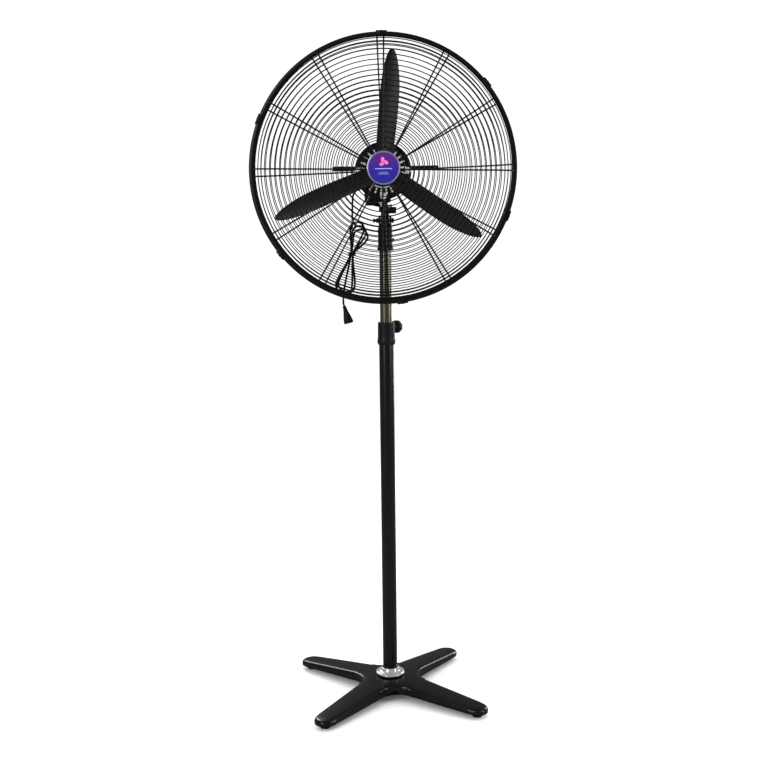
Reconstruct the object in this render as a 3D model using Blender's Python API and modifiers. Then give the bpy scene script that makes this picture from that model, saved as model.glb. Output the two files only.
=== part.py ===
"""A pedestal fan on a four-legged cast base: a telescopic pole, a tilting and swinging head with a
capacitor motor, three blades between two wire guards, and a mains lead tied up in a hank.

Metres, +Z up. The origin is on the floor under the pole, and the fan blows towards -Y.
"""

import math

import bmesh
import bpy
from mathutils import Matrix, Vector

GAP = 0.0003  # between pieces that touch

# Base and feet
LEG_ANGLE = math.radians(53.4)
LEG_REACH = 0.3475
LEG_TIP_HALF = 0.032
LEG_ROOT_HALF = 0.050
NOTCH_FILLET = 0.048
CENTRE_TOP = 0.0590
TIP_TOP = 0.0300
CENTRE_UNDER = 0.0270
TIP_UNDER = 0.0140
CAST_WALL = 0.007
FOOT_REACH = 0.316
FOOT_RADIUS = 0.0145
FLANGE_RADIUS = 0.0438

# Pole, collar and telescopic tube
POLE_RADIUS = 0.0219
POLE_WALL = 0.0016
POLE_FOOT = 0.0345
POLE_TOP = 1.1400
TUBE_RADIUS = 0.0177
TUBE_WALL = 0.0015
TUBE_FOOT = 0.7800
COLLAR_RADIUS = 0.0268
COLLAR_FOOT = 1.0776
COLLAR_TOP = 1.1444
KNOB_HEIGHT = 1.1317
KNOB_DIRECTION = math.radians(57.0)

# Neck, tilt joint and swivel
SOCKET_FOOT = 1.3538
SOCKET_TOP = 1.4222
SOCKET_RADIUS = 0.0212
TILT_HEIGHT = 1.4410
PLATFORM_FOOT = 1.4670
PLATFORM_TOP = 1.4800
SPINDLE_RADIUS = 0.0075

# Head, measured along the motor's axis forward of the pole
HUB_HEIGHT = 1.5800
HUB_SIDE = -0.0040
GEARBOX_LOW = Vector((-0.0580, -0.0217, 1.4925))
GEARBOX_HIGH = Vector((0.0180, 0.0620, 1.6120))
MOTOR_BACK = 0.0220
MOTOR_FRONT = 0.1120
MOTOR_RADIUS = 0.0700
GUARD_SEAT_RADIUS = 0.0800
SCREW_CIRCLE = 0.0690
SHAFT_RADIUS = 0.0060
WORM_RADIUS = 0.0075

# Swinging gear: crank under the gearbox, link bar to the fixed pin on the swivel bracket
CRANK_CENTRE = Vector((-0.0300, 0.0320))
CRANK_THROW = 0.0178
CRANK_PHASE = math.radians(40.9)
ANCHOR = Vector((0.0175, 0.0164))
LINK_LENGTH = 0.0439
LINK_PHASE = math.radians(142.5)
LINK_FOOT = 1.4832
LINK_TOP = 1.4862

# Guards and blades
GUARD_RADIUS = 0.3670
RIM_WIRE = 0.0035
RING_WIRE = 0.0022
SPOKE_WIRE = 0.0026
REAR_SPOKE_TURN = math.radians(1.95)
FRONT_SPOKE_TURN = math.radians(-1.0)
SPOKES = 12
BLADES = 3
BLADE_TURNS = tuple(math.radians(degrees) for degrees in (84.9, 203.2, 325.9))
BLADE_PLANE = 0.1600
BLADE_TIP = 0.3300
CLIP_ANGLES = (39.0, 90.0, 157.5, 218.5, 278.0, 339.5)
BADGE_RADIUS = 0.0450

# Mains lead
CORD_RADIUS = 0.0030
CORD_PLANE = 0.0320
CORD_LAYER = 0.0066  # from one turn of the hank to the next, front to back
GLAND_START = Vector((-0.0790, CORD_PLANE, 1.5445))
GLAND_WAY = Vector((-0.4000, 0.0, -0.9165))
GLAND_LENGTH = 0.0240
HANK_WAIST = 1.3440
HANK_TOP = 1.4290
HANK_FOOT = 1.2180
HANK_DEPTH = 0.0272
TAIL_PLANE = CORD_PLANE + 1.5 * CORD_LAYER
PLUG_TOP = Vector((-0.1247, TAIL_PLANE, 1.1906))
PLUG_WAY = Vector((0.2500, 0.0, -0.9683))
PLUG_LENGTH = 0.0540
PIN_LENGTH = 0.0160


# ---------------------------------------------------------------- scene and materials


def clear_scene():
    for obj in list(bpy.data.objects):
        bpy.data.objects.remove(obj, do_unlink=True)


def new_collection(name, hidden=False):
    made = bpy.data.collections.new(name)
    made.hide_render = hidden
    bpy.context.scene.collection.children.link(made)
    return made


def finish_named(name, colour, roughness, metallic=0.0):
    made = bpy.data.materials.new(name)
    made.use_nodes = True
    shader = made.node_tree.nodes["Principled BSDF"]
    shader.inputs["Base Color"].default_value = (*colour, 1.0)
    shader.inputs["Roughness"].default_value = roughness
    shader.inputs["Metallic"].default_value = metallic
    made.diffuse_color = (*colour, 1.0)
    return made


clear_scene()
FAN = new_collection("pedestal_fan")
HELPERS = new_collection("helpers", hidden=True)
GLOSS_BLACK = finish_named("gloss_black", (0.012, 0.012, 0.013), 0.18)
SATIN_BLACK = finish_named("satin_black", (0.020, 0.020, 0.021), 0.42)
BLADE_GREY = finish_named("blade_grey", (0.028, 0.030, 0.033), 0.40)
CHROME = finish_named("chrome", (0.78, 0.79, 0.80), 0.10, 1.0)
NICKEL = finish_named("nickel_tube", (0.42, 0.40, 0.32), 0.22, 1.0)
STEEL = finish_named("steel", (0.55, 0.55, 0.56), 0.32, 1.0)
COPPER = finish_named("copper", (0.72, 0.34, 0.18), 0.35, 1.0)
BRASS = finish_named("brass", (0.70, 0.52, 0.22), 0.30, 1.0)
RUBBER = finish_named("rubber", (0.018, 0.018, 0.018), 0.70)
PLASTIC = finish_named("black_plastic", (0.022, 0.022, 0.023), 0.48)
NYLON = finish_named("nylon", (0.75, 0.74, 0.70), 0.45)
BADGE_BLUE = finish_named("badge_blue", (0.030, 0.020, 0.200), 0.25)


# ---------------------------------------------------------------- making solids


def add(name, mesh, finish, collection=None):
    """A named object in the fan, with its finish and smooth round faces."""
    obj = bpy.data.objects.new(name, mesh)
    (collection or FAN).objects.link(obj)
    mesh.materials.clear()
    mesh.materials.append(finish)
    if obj.type == "MESH":
        mesh.shade_smooth()
        mesh.set_sharp_from_angle(angle=math.radians(35))
    return obj


def mesh_from(bm, name):
    bmesh.ops.recalc_face_normals(bm, faces=bm.faces)
    mesh = bpy.data.meshes.new(name)
    bm.to_mesh(mesh)
    bm.free()
    return mesh


def box(name, low, high, finish, bevel=0.0, collection=None):
    low, high = Vector(low), Vector(high)
    bm = bmesh.new()
    bmesh.ops.create_cube(bm, size=1.0)
    bmesh.ops.scale(bm, vec=high - low, verts=bm.verts)
    obj = add(name, mesh_from(bm, name), finish, collection)
    obj.location = (low + high) / 2
    if bevel:
        rounding = obj.modifiers.new("edges", "BEVEL")
        rounding.width = bevel
        rounding.segments = 2
    return obj


def rod(name, start, end, radius, finish, end_radius=None, sides=14, collection=None):
    """A round bar, or a cone where its two radii differ, from one point to another."""
    start, end = Vector(start), Vector(end)
    bm = bmesh.new()
    bmesh.ops.create_cone(
        bm,
        cap_ends=True,
        segments=sides,
        radius1=radius,
        radius2=radius if end_radius is None else end_radius,
        depth=(end - start).length,
    )
    obj = add(name, mesh_from(bm, name), finish, collection)
    obj.rotation_mode = "QUATERNION"
    obj.rotation_quaternion = (end - start).to_track_quat("Z", "Y")
    obj.location = (start + end) / 2
    return obj


def turned(name, profile, finish, forward=None, sides=20, collection=None):
    """A turned piece. The profile's (radius, height) points run down its outer side and, for a ring, back up
    its bore. It stands on the pole's axis, or lies along the motor's axis where forward is given."""
    ring = min(radius for radius, _ in profile) > 0
    bm = bmesh.new()
    points = [bm.verts.new((radius, 0.0, height)) for radius, height in profile]
    for here, there in zip(points, points[1:] + points[:1] if ring else points[1:]):
        bm.edges.new((here, there))
    mesh = bpy.data.meshes.new(name)
    bm.to_mesh(mesh)
    bm.free()
    obj = add(name, mesh, finish, collection)
    screw = obj.modifiers.new("turn", "SCREW")
    screw.axis = "Z"
    screw.steps = screw.render_steps = sides
    screw.use_merge_vertices = True
    screw.merge_threshold = 0.00001
    screw.use_smooth_shade = True
    if forward is not None:
        obj.rotation_euler = (math.pi / 2, 0.0, 0.0)
        obj.location = (HUB_SIDE, -forward, HUB_HEIGHT)
    return obj


def tube_profile(outer, inner, low, high):
    return [(outer, high), (outer, low), (inner, low), (inner, high)]


def wire(name, points, radius, finish, closed=False, sides=4, collection=None):
    """A bent wire or cord through the points."""
    curve = bpy.data.curves.new(name, "CURVE")
    curve.dimensions = "3D"
    curve.bevel_depth = radius
    curve.bevel_resolution = max(0, sides // 2 - 2)
    curve.use_fill_caps = True
    spline = curve.splines.new("POLY")
    spline.points.add(len(points) - 1)
    for place, point in zip(spline.points, points):
        place.co = (*point, 1.0)
    spline.use_cyclic_u = closed
    return add(name, curve, finish, collection)


def outline_plate(name, points, thickness, finish, collection=None):
    """A flat plate of the outline, lying in X and Y about its own middle."""
    curve = bpy.data.curves.new(name, "CURVE")
    curve.dimensions = "2D"
    curve.fill_mode = "BOTH"
    curve.extrude = thickness / 2
    spline = curve.splines.new("POLY")
    spline.points.add(len(points) - 1)
    for place, point in zip(spline.points, points):
        place.co = (point[0], point[1], 0.0, 1.0)
    spline.use_cyclic_u = True
    return add(name, curve, finish, collection)


def as_mesh(curve_obj):
    """The curve object as a mesh object of the same name and place, its caps welded on."""
    bpy.context.view_layer.update()
    seen = curve_obj.evaluated_get(bpy.context.evaluated_depsgraph_get())
    mesh = bpy.data.meshes.new_from_object(seen)
    bm = bmesh.new()
    bm.from_mesh(mesh)
    bmesh.ops.remove_doubles(bm, verts=bm.verts, dist=0.000001)
    bmesh.ops.recalc_face_normals(bm, faces=bm.faces)
    bm.to_mesh(mesh)
    bm.free()
    name, place = curve_obj.name, curve_obj.matrix_world.copy()
    finish, home = curve_obj.data.materials[0], curve_obj.users_collection[0]
    bpy.data.objects.remove(curve_obj, do_unlink=True)
    made = add(name, mesh, finish, home)
    made.matrix_world = place
    return made


def helper(obj):
    """Takes an object out of the fan, as a cutter or a shape that a join uses."""
    for home in list(obj.users_collection):
        home.objects.unlink(obj)
    HELPERS.objects.link(obj)
    obj.hide_render = True
    obj.display_type = "WIRE"
    return obj


def boolean(obj, other, operation):
    step = obj.modifiers.new(operation.lower(), "BOOLEAN")
    step.operation = operation
    step.solver = "EXACT"
    step.object = helper(other)


def cut(obj, *cutters):
    for cutter in cutters:
        boolean(obj, cutter, "DIFFERENCE")
    return obj


def join(obj, *others):
    for other in others:
        boolean(obj, other, "UNION")
    return obj


def circle_points(radius, count, height=0.0, turn=0.0):
    steps = (turn + 2 * math.pi * i / count for i in range(count))
    return [Vector((radius * math.cos(a), radius * math.sin(a), height)) for a in steps]


def frame_at(name, place, parent=None):
    """An empty on a joint's axis, which the pieces of a moving body hang from."""
    empty = bpy.data.objects.new(name, None)
    empty.empty_display_size = 0.03
    FAN.objects.link(empty)
    empty.location = place
    if parent is not None:
        hang(empty, parent)
    return empty


def hang(obj, parent):
    bpy.context.view_layer.update()
    obj.parent = parent
    obj.matrix_parent_inverse = parent.matrix_world.inverted()


def on_motor_axis(radius, angle, forward):
    """A point beside the motor's axis, at an angle seen from the front."""
    return Vector(
        (
            HUB_SIDE + radius * math.cos(angle),
            -forward,
            HUB_HEIGHT + radius * math.sin(angle),
        )
    )


# ---------------------------------------------------------------- stand


def leg_half_width(reach):
    """Half the leg's width, with the fillet into the next leg near the middle."""
    straight = LEG_ROOT_HALF + (LEG_TIP_HALF - LEG_ROOT_HALF) * reach / LEG_REACH
    into = NOTCH_FILLET + LEG_ROOT_HALF - reach
    if into <= 0:
        return straight
    return straight + NOTCH_FILLET - math.sqrt(max(NOTCH_FILLET**2 - into**2, 0.0))


def cross_outline(inset=0.0):
    """The base from above: four tapered legs with filleted notches and round ends."""
    corner = LEG_ROOT_HALF + NOTCH_FILLET * (1 - math.sqrt(0.5))
    stations = [corner + (LEG_ROOT_HALF + NOTCH_FILLET - corner) * t for t in (0.35, 1.0)]
    stations += [0.19, LEG_REACH - LEG_TIP_HALF]
    points = []
    for leg in range(4):
        turn = Matrix.Rotation(LEG_ANGLE + leg * math.pi / 2, 2)
        side = [Vector((corner - inset, -corner + inset))]
        side += [Vector((s, -leg_half_width(s) + inset)) for s in stations]
        tip = [
            Vector((LEG_REACH - LEG_TIP_HALF, 0.0))
            + (LEG_TIP_HALF - inset) * Vector((math.cos(a), math.sin(a)))
            for a in (math.radians(d) for d in (-60, -30, 0, 30, 60))
        ]
        other = [Vector((p.x, -p.y)) for p in reversed(side[1:])]
        points += [turn @ p for p in side + tip + other]
    return points


def cross_solid(name, inset, drop_top, drop_under, finish):
    """The cross with its top and underside sloping down along the legs."""
    obj = as_mesh(outline_plate(name, cross_outline(inset), 0.02, finish))
    for vertex in obj.data.vertices:
        along = min(vertex.co.xy.length / LEG_REACH, 1.0)
        if vertex.co.z > 0:
            vertex.co.z = CENTRE_TOP + (TIP_TOP - CENTRE_TOP) * along - drop_top
        else:
            vertex.co.z = CENTRE_UNDER + (TIP_UNDER - CENTRE_UNDER) * along - drop_under
    return obj


def build_stand(body):
    base = cross_solid("base_cross", 0.0, 0.0, 0.0, GLOSS_BLACK)
    rounding = base.modifiers.new("edges", "BEVEL")
    rounding.width = 0.004
    rounding.segments = 1
    rounding.limit_method = "ANGLE"
    rounding.angle_limit = math.radians(50)
    hollow = cross_solid("base_hollow", CAST_WALL, CAST_WALL, 0.04, GLOSS_BLACK)
    cut(base, hollow)
    boss = turned(
        "base_boss",
        tube_profile(0.0340, POLE_RADIUS + GAP, 0.0240, 0.0600),
        GLOSS_BLACK,
        sides=24,
    )
    pole_hole = rod(
        "base_pole_hole", (0, 0, 0.02), (0, 0, 0.09), POLE_RADIUS + 2 * GAP, GLOSS_BLACK, sides=24
    )
    join(base, boss)
    cut(base, pole_hole)
    pieces = [base]
    for leg in range(4):
        angle = LEG_ANGLE + leg * math.pi / 2
        across = Vector((math.cos(angle), math.sin(angle), 0.0)) * FOOT_REACH
        post = turned(
            f"foot_post_{leg + 1}",
            [(0, 0.0280), (0.0105, 0.0280), (0.0105, 0.0120), (0, 0.0120)],
            GLOSS_BLACK,
            sides=12,
        )
        post.location = across
        join(base, post)
        foot = turned(
            f"foot_{leg + 1}",
            [(0, 0.0117), (0.0125, 0.0117), (FOOT_RADIUS, 0.0080), (FOOT_RADIUS, 0.0015), (0.0125, 0.0), (0, 0.0)],
            RUBBER,
            sides=14,
        )
        foot.location = across
        pieces.append(foot)
    flange = turned(
        "base_flange",
        [
            (0.0245, 0.0800),
            (0.0285, 0.0705),
            (0.0400, 0.0675),
            (FLANGE_RADIUS, 0.0645),
            (FLANGE_RADIUS, 0.0603),
            (POLE_RADIUS + GAP, 0.0603),
            (POLE_RADIUS + GAP, 0.0800),
        ],
        CHROME,
        sides=24,
    )
    nut = turned("pole_nut", tube_profile(0.0300, 0.0090, 0.0180, 0.0237), STEEL, sides=6)
    pole = turned(
        "outer_pole",
        tube_profile(POLE_RADIUS, POLE_RADIUS - POLE_WALL, POLE_FOOT, POLE_TOP),
        GLOSS_BLACK,
        sides=20,
    )
    bush_outer = POLE_RADIUS - POLE_WALL - GAP
    bush = turned(
        "collar_bush", tube_profile(bush_outer, TUBE_RADIUS + GAP, 1.0850, 1.1385), NYLON, sides=20
    )
    collar = turned(
        "clamp_collar",
        [
            (COLLAR_RADIUS - 0.0015, COLLAR_TOP),
            (COLLAR_RADIUS, COLLAR_TOP - 0.0020),
            (COLLAR_RADIUS, COLLAR_FOOT + 0.0100),
            (COLLAR_RADIUS - 0.0012, COLLAR_FOOT + 0.0080),
            (COLLAR_RADIUS - 0.0012, COLLAR_FOOT),
            (POLE_RADIUS + GAP, COLLAR_FOOT),
            (POLE_RADIUS + GAP, POLE_TOP + GAP),
            (TUBE_RADIUS + GAP, POLE_TOP + GAP),
            (TUBE_RADIUS + GAP, COLLAR_TOP),
        ],
        SATIN_BLACK,
        sides=20,
    )
    way = Vector((math.cos(KNOB_DIRECTION), math.sin(KNOB_DIRECTION), 0.0))
    height = Vector((0.0, 0.0, KNOB_HEIGHT - 0.0060))
    lug = rod("collar_lug", way * 0.0240 + height, way * 0.0335 + height, 0.0100, SATIN_BLACK, sides=12)
    join(collar, lug)
    for target in (collar, pole, bush):
        hole = rod(
            f"{target.name}_screw_hole", way * 0.0155 + height, way * 0.0380 + height, 0.0044, SATIN_BLACK, sides=12
        )
        cut(target, hole)
    pieces += [flange, nut, pole, bush, collar]
    for piece in pieces:
        hang(piece, body)


def build_height_knob(stand):
    """The clamp knob and its screw, on the axis of the screw through the collar."""
    way = Vector((math.cos(KNOB_DIRECTION), math.sin(KNOB_DIRECTION), 0.0))
    height = Vector((0.0, 0.0, KNOB_HEIGHT - 0.0060))
    axis = frame_at("height_knob_axis", way * 0.0400 + height, stand)
    screw = rod("height_screw", way * 0.0182 + height, way * 0.0440 + height, 0.0040, STEEL, sides=12)
    knob = rod("height_knob", way * 0.0443 + height, way * 0.0640 + height, 0.0175, PLASTIC, sides=12)
    neck = rod("height_knob_neck", way * 0.0362 + height, way * 0.0450 + height, 0.0095, PLASTIC, sides=12)
    join(knob, neck)
    seat = rod("height_knob_seat", way * 0.0300 + height, way * 0.0443 + height, 0.0044, PLASTIC, sides=12)
    cut(knob, seat)
    for piece in (screw, knob):
        hang(piece, axis)


# ---------------------------------------------------------------- mast and tilt joint


def build_mast(body):
    tube = turned(
        "inner_tube",
        tube_profile(TUBE_RADIUS, TUBE_RADIUS - TUBE_WALL, TUBE_FOOT, SOCKET_TOP - 0.0120),
        NICKEL,
        sides=20,
    )
    bore = TUBE_RADIUS + GAP
    socket = turned(
        "neck_socket",
        [
            (0.0, SOCKET_TOP),
            (SOCKET_RADIUS - 0.0015, SOCKET_TOP),
            (SOCKET_RADIUS, SOCKET_TOP - 0.0020),
            (SOCKET_RADIUS, SOCKET_FOOT + 0.0090),
            (SOCKET_RADIUS + 0.0024, SOCKET_FOOT + 0.0075),
            (SOCKET_RADIUS + 0.0024, SOCKET_FOOT),
            (bore, SOCKET_FOOT),
            (bore, SOCKET_TOP - 0.0115),
            (0.0, SOCKET_TOP - 0.0115),
        ],
        SATIN_BLACK,
        sides=20,
    )
    for side in (-1, 1):
        inner, outer = sorted((side * 0.0125, side * 0.0185))
        ear = box(
            f"socket_ear_{side + 2}", (inner, -0.0150, SOCKET_TOP - 0.0030), (outer, 0.0150, TILT_HEIGHT), SATIN_BLACK
        )
        crown = rod(
            f"socket_ear_crown_{side + 2}", (inner, 0, TILT_HEIGHT), (outer, 0, TILT_HEIGHT), 0.0150, SATIN_BLACK, sides=24
        )
        join(socket, ear, crown)
    bolt_hole = rod(
        "socket_bolt_hole", (-0.03, 0, TILT_HEIGHT), (0.03, 0, TILT_HEIGHT), 0.0043, SATIN_BLACK, sides=12
    )
    screw_height = 1.3850
    screw_hole = rod(
        "socket_screw_hole", (0.0150, 0, screw_height), (0.0300, 0, screw_height), 0.0029, SATIN_BLACK, sides=12
    )
    cut(socket, bolt_hole, screw_hole)
    screw = rod("socket_screw", (0.0182, 0, screw_height), (0.0225, 0, screw_height), 0.0025, STEEL, sides=12)
    head = rod("socket_screw_head", (0.0222, 0, screw_height), (0.0258, 0, screw_height), 0.0045, STEEL, sides=12)
    join(screw, head)
    bolt = rod("tilt_bolt", (-0.0300, 0, TILT_HEIGHT), (0.0262, 0, TILT_HEIGHT), 0.0039, STEEL, sides=12)
    bolt_head = rod("tilt_bolt_head", (-0.0345, 0, TILT_HEIGHT), (-0.0290, 0, TILT_HEIGHT), 0.0062, STEEL, sides=6)
    washer = rod("tilt_bolt_washer", (-0.0292, 0, TILT_HEIGHT), (-0.0188, 0, TILT_HEIGHT), 0.0055, STEEL, sides=12)
    join(bolt, bolt_head, washer)
    nut = rod("tilt_nut", (0.0188, 0, TILT_HEIGHT), (0.0248, 0, TILT_HEIGHT), 0.0075, STEEL, sides=6)
    thread = rod("tilt_nut_thread", (0.01, 0, TILT_HEIGHT), (0.03, 0, TILT_HEIGHT), 0.0042, STEEL, sides=12)
    cut(nut, thread)
    for piece in (tube, socket, screw, bolt, nut):
        hang(piece, body)


def build_tilt(body):
    """The bracket that nods on the tilt bolt and carries the swivel spindle and the link's fixed pin."""
    tongue = box("swivel_bracket", (-0.0120, -0.0140, TILT_HEIGHT), (0.0120, 0.0140, PLATFORM_FOOT + 0.004), SATIN_BLACK)
    eye = rod("bracket_eye", (-0.0120, 0, TILT_HEIGHT), (0.0120, 0, TILT_HEIGHT), 0.0140, SATIN_BLACK, sides=24)
    platform = rod(
        "bracket_platform", (0, 0, PLATFORM_FOOT), (0, 0, PLATFORM_TOP), 0.0175, SATIN_BLACK, sides=20
    )
    arm = box("bracket_arm", (0.0, 0.0040, PLATFORM_FOOT - 0.0060), (0.0330, 0.0220, PLATFORM_TOP), SATIN_BLACK)
    pin = rod(
        "bracket_pin", (ANCHOR.x, ANCHOR.y, PLATFORM_TOP - 0.004), (ANCHOR.x, ANCHOR.y, LINK_TOP + 0.0012), 0.0030, STEEL, sides=12
    )
    join(tongue, eye, platform, arm, pin)
    bolt_hole = rod(
        "bracket_bolt_hole", (-0.02, 0, TILT_HEIGHT), (0.02, 0, TILT_HEIGHT), 0.0043, SATIN_BLACK, sides=12
    )
    spindle_hole = rod(
        "bracket_spindle_hole", (0, 0, TILT_HEIGHT + 0.012), (0, 0, PLATFORM_TOP + 0.01), SPINDLE_RADIUS + GAP, SATIN_BLACK
    )
    cut(tongue, bolt_hole, spindle_hole)
    spindle = turned(
        "swivel_spindle",
        [
            (0.0, 1.5300),
            (SPINDLE_RADIUS - 0.0010, 1.5300),
            (SPINDLE_RADIUS, 1.5290),
            (SPINDLE_RADIUS, 1.4922),
            (0.0090, 1.4922),
            (0.0090, PLATFORM_TOP + GAP),
            (SPINDLE_RADIUS, PLATFORM_TOP + GAP),
            (SPINDLE_RADIUS, TILT_HEIGHT + 0.0124),
            (0.0, TILT_HEIGHT + 0.0124),
        ],
        STEEL,
        sides=20,
    )
    for piece in (tongue, spindle):
        hang(piece, body)


# ---------------------------------------------------------------- head: gearbox and motor


def build_gearbox(head):
    low, high = GEARBOX_LOW, GEARBOX_HIGH
    housing = box("gearbox_housing", low, high, SATIN_BLACK, bevel=0.006)
    lug = box("gearbox_lug", (-0.0500, 0.0560, 1.5800), (0.0100, 0.0850, 1.6050), SATIN_BLACK, bevel=0.004)
    join(housing, lug)
    room = box("gearbox_room", (-0.0540, 0.0120, 1.5080), (0.0140, 0.0575, 1.6200), SATIN_BLACK)
    spindle_bore = rod("gearbox_spindle_bore", (0, 0, 1.48), (0, 0, 1.5320), SPINDLE_RADIUS + 0.0006, SATIN_BLACK)
    crank_bore = rod("gearbox_crank_bore", (*CRANK_CENTRE, 1.48), (*CRANK_CENTRE, 1.5150), 0.0056, SATIN_BLACK)
    shaft_bore = rod(
        "gearbox_shaft_bore", (HUB_SIDE, -0.03, HUB_HEIGHT), (HUB_SIDE, 0.02, HUB_HEIGHT), WORM_RADIUS + 0.001, SATIN_BLACK
    )
    bar_bore = rod("gearbox_bar_bore", (-0.06, 0.0720, 1.5925), (0.02, 0.0720, 1.5925), 0.0074, SATIN_BLACK)
    cut(housing, room, spindle_bore, crank_bore, shaft_bore, bar_bore)
    cover = box("gearbox_cover", (low.x, low.y, high.z + GAP), (high.x, high.y, high.z + 0.0090), SATIN_BLACK, bevel=0.003)
    rod_hole = rod("cover_rod_hole", (*CRANK_CENTRE, 1.60), (*CRANK_CENTRE, 1.63), 0.0036, SATIN_BLACK, sides=12)
    cut(cover, rod_hole)
    bar = rod("handle_bar", (-0.1520, 0.0720, 1.5925), (0.1600, 0.0720, 1.5925), 0.0070, SATIN_BLACK, sides=12)
    switch_box = box("switch_box", (-0.0830, 0.0020, 1.5400), (-0.0583, 0.0620, 1.5960), PLASTIC, bevel=0.003)
    switch_room = box("switch_room", (-0.0805, 0.0045, 1.5425), (-0.0500, 0.0595, 1.5935), PLASTIC)
    knob_hole = rod("switch_knob_hole", (-0.0700, 0.05, 1.5680), (-0.0700, 0.07, 1.5680), 0.0037, PLASTIC, sides=12)
    cord_hole = rod("switch_cord_hole", GLAND_START - 0.01 * GLAND_WAY, GLAND_START + 0.012 * GLAND_WAY, 0.0058, PLASTIC, sides=12)
    cut(switch_box, switch_room, knob_hole, cord_hole)
    capacitor = box("capacitor", (-0.0795, 0.0060, 1.5560), (-0.0620, 0.0400, 1.5900), NYLON, bevel=0.002)
    tip = GLAND_START + GLAND_LENGTH * GLAND_WAY
    gland = rod("cord_gland", GLAND_START - 0.002 * GLAND_WAY, tip, 0.0054, RUBBER, end_radius=0.0042, sides=12)
    for piece in (housing, cover, bar, switch_box, capacitor, gland):
        hang(piece, head)


def build_motor(head):
    front, back = MOTOR_FRONT, MOTOR_BACK
    bearing_bore, bearing_seat, wall = SHAFT_RADIUS + 0.0006, 0.0140, 0.0040
    rear_cover = turned(
        "motor_rear_cover",
        [
            (MOTOR_RADIUS, 0.0400),
            (MOTOR_RADIUS, 0.0120),
            (MOTOR_RADIUS - 0.0120, 0.0),
            (bearing_bore, 0.0),
            (bearing_bore, wall),
            (bearing_seat + GAP, wall),
            (bearing_seat + GAP, 0.0130),
            (bearing_seat + 0.0040, 0.0130),
            (bearing_seat + 0.0060, wall),
            (MOTOR_RADIUS - 0.0140, wall),
            (MOTOR_RADIUS - wall, 0.0140),
            (MOTOR_RADIUS - wall, 0.0400),
        ],
        SATIN_BLACK,
        forward=back,
        sides=24,
    )
    front_cover = turned(
        "motor_front_cover",
        [
            (bearing_bore, front),
            (GUARD_SEAT_RADIUS - 0.0030, front),
            (GUARD_SEAT_RADIUS, front - 0.0030),
            (GUARD_SEAT_RADIUS, front - 0.0060),
            (MOTOR_RADIUS, front - 0.0100),
            (MOTOR_RADIUS, 0.0880),
            (MOTOR_RADIUS - wall, 0.0880),
            (MOTOR_RADIUS - wall, front - 0.0060),
            (bearing_seat + 0.0060, front - 0.0050),
            (bearing_seat + 0.0040, front - 0.0120),
            (bearing_seat + GAP, front - 0.0120),
            (bearing_seat + GAP, front - wall),
            (bearing_bore, front - wall),
        ],
        SATIN_BLACK,
        forward=0.0,
        sides=24,
    )
    core = turned("stator_core", tube_profile(MOTOR_RADIUS, 0.0425, 0.0623, 0.0877), STEEL, forward=0.0, sides=24)
    pieces = [rear_cover, front_cover, core]
    for name, low, high in (("winding_rear", 0.0480, 0.0620), ("winding_front", 0.0880, 0.1020)):
        pieces.append(turned(name, tube_profile(0.0620, 0.0460, low, high), COPPER, forward=0.0, sides=24))
    for name, low, high in (("bearing_rear", 0.0265, 0.0345), ("bearing_front", 0.0998, 0.1077)):
        pieces.append(turned(name, tube_profile(bearing_seat, bearing_bore, low, high), STEEL, forward=0.0, sides=20))
    for number in range(4):
        angle = number * math.pi / 2
        outer = on_motor_axis(SCREW_CIRCLE, angle, 0.1210)
        seat = on_motor_axis(SCREW_CIRCLE, angle, 0.1157)
        foot = on_motor_axis(SCREW_CIRCLE, angle, 0.1060)
        screw = rod(f"guard_screw_{number + 1}", foot, outer, 0.0022, CHROME, sides=8)
        head_piece = rod(f"guard_screw_head_{number + 1}", seat, outer, 0.0065, CHROME, end_radius=0.0055, sides=12)
        join(screw, head_piece)
        hole = rod(f"cover_screw_hole_{number + 1}", foot - Vector((0, -0.004, 0)), outer, 0.0026, SATIN_BLACK, sides=8)
        cut(front_cover, hole)
        pieces.append(screw)
    for piece in pieces:
        hang(piece, head)


# ---------------------------------------------------------------- head: guards


def guard_profile(radius, rear):
    """How far forward a guard's surface lies at a radius: flat in the middle and curved at the shoulder."""
    rim, face = (0.1755, 0.1165) if rear else (0.1865, 0.2350)
    start = 0.2500
    if radius <= start:
        return face + (0.0 if rear else 0.0060 * (1 - (radius / start) ** 2))
    along = (radius - start) / (GUARD_RADIUS - RIM_WIRE - start)
    return rim + (face - rim) * math.sqrt(max(1 - min(along, 1.0) ** 2.6, 0.0))


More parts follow.
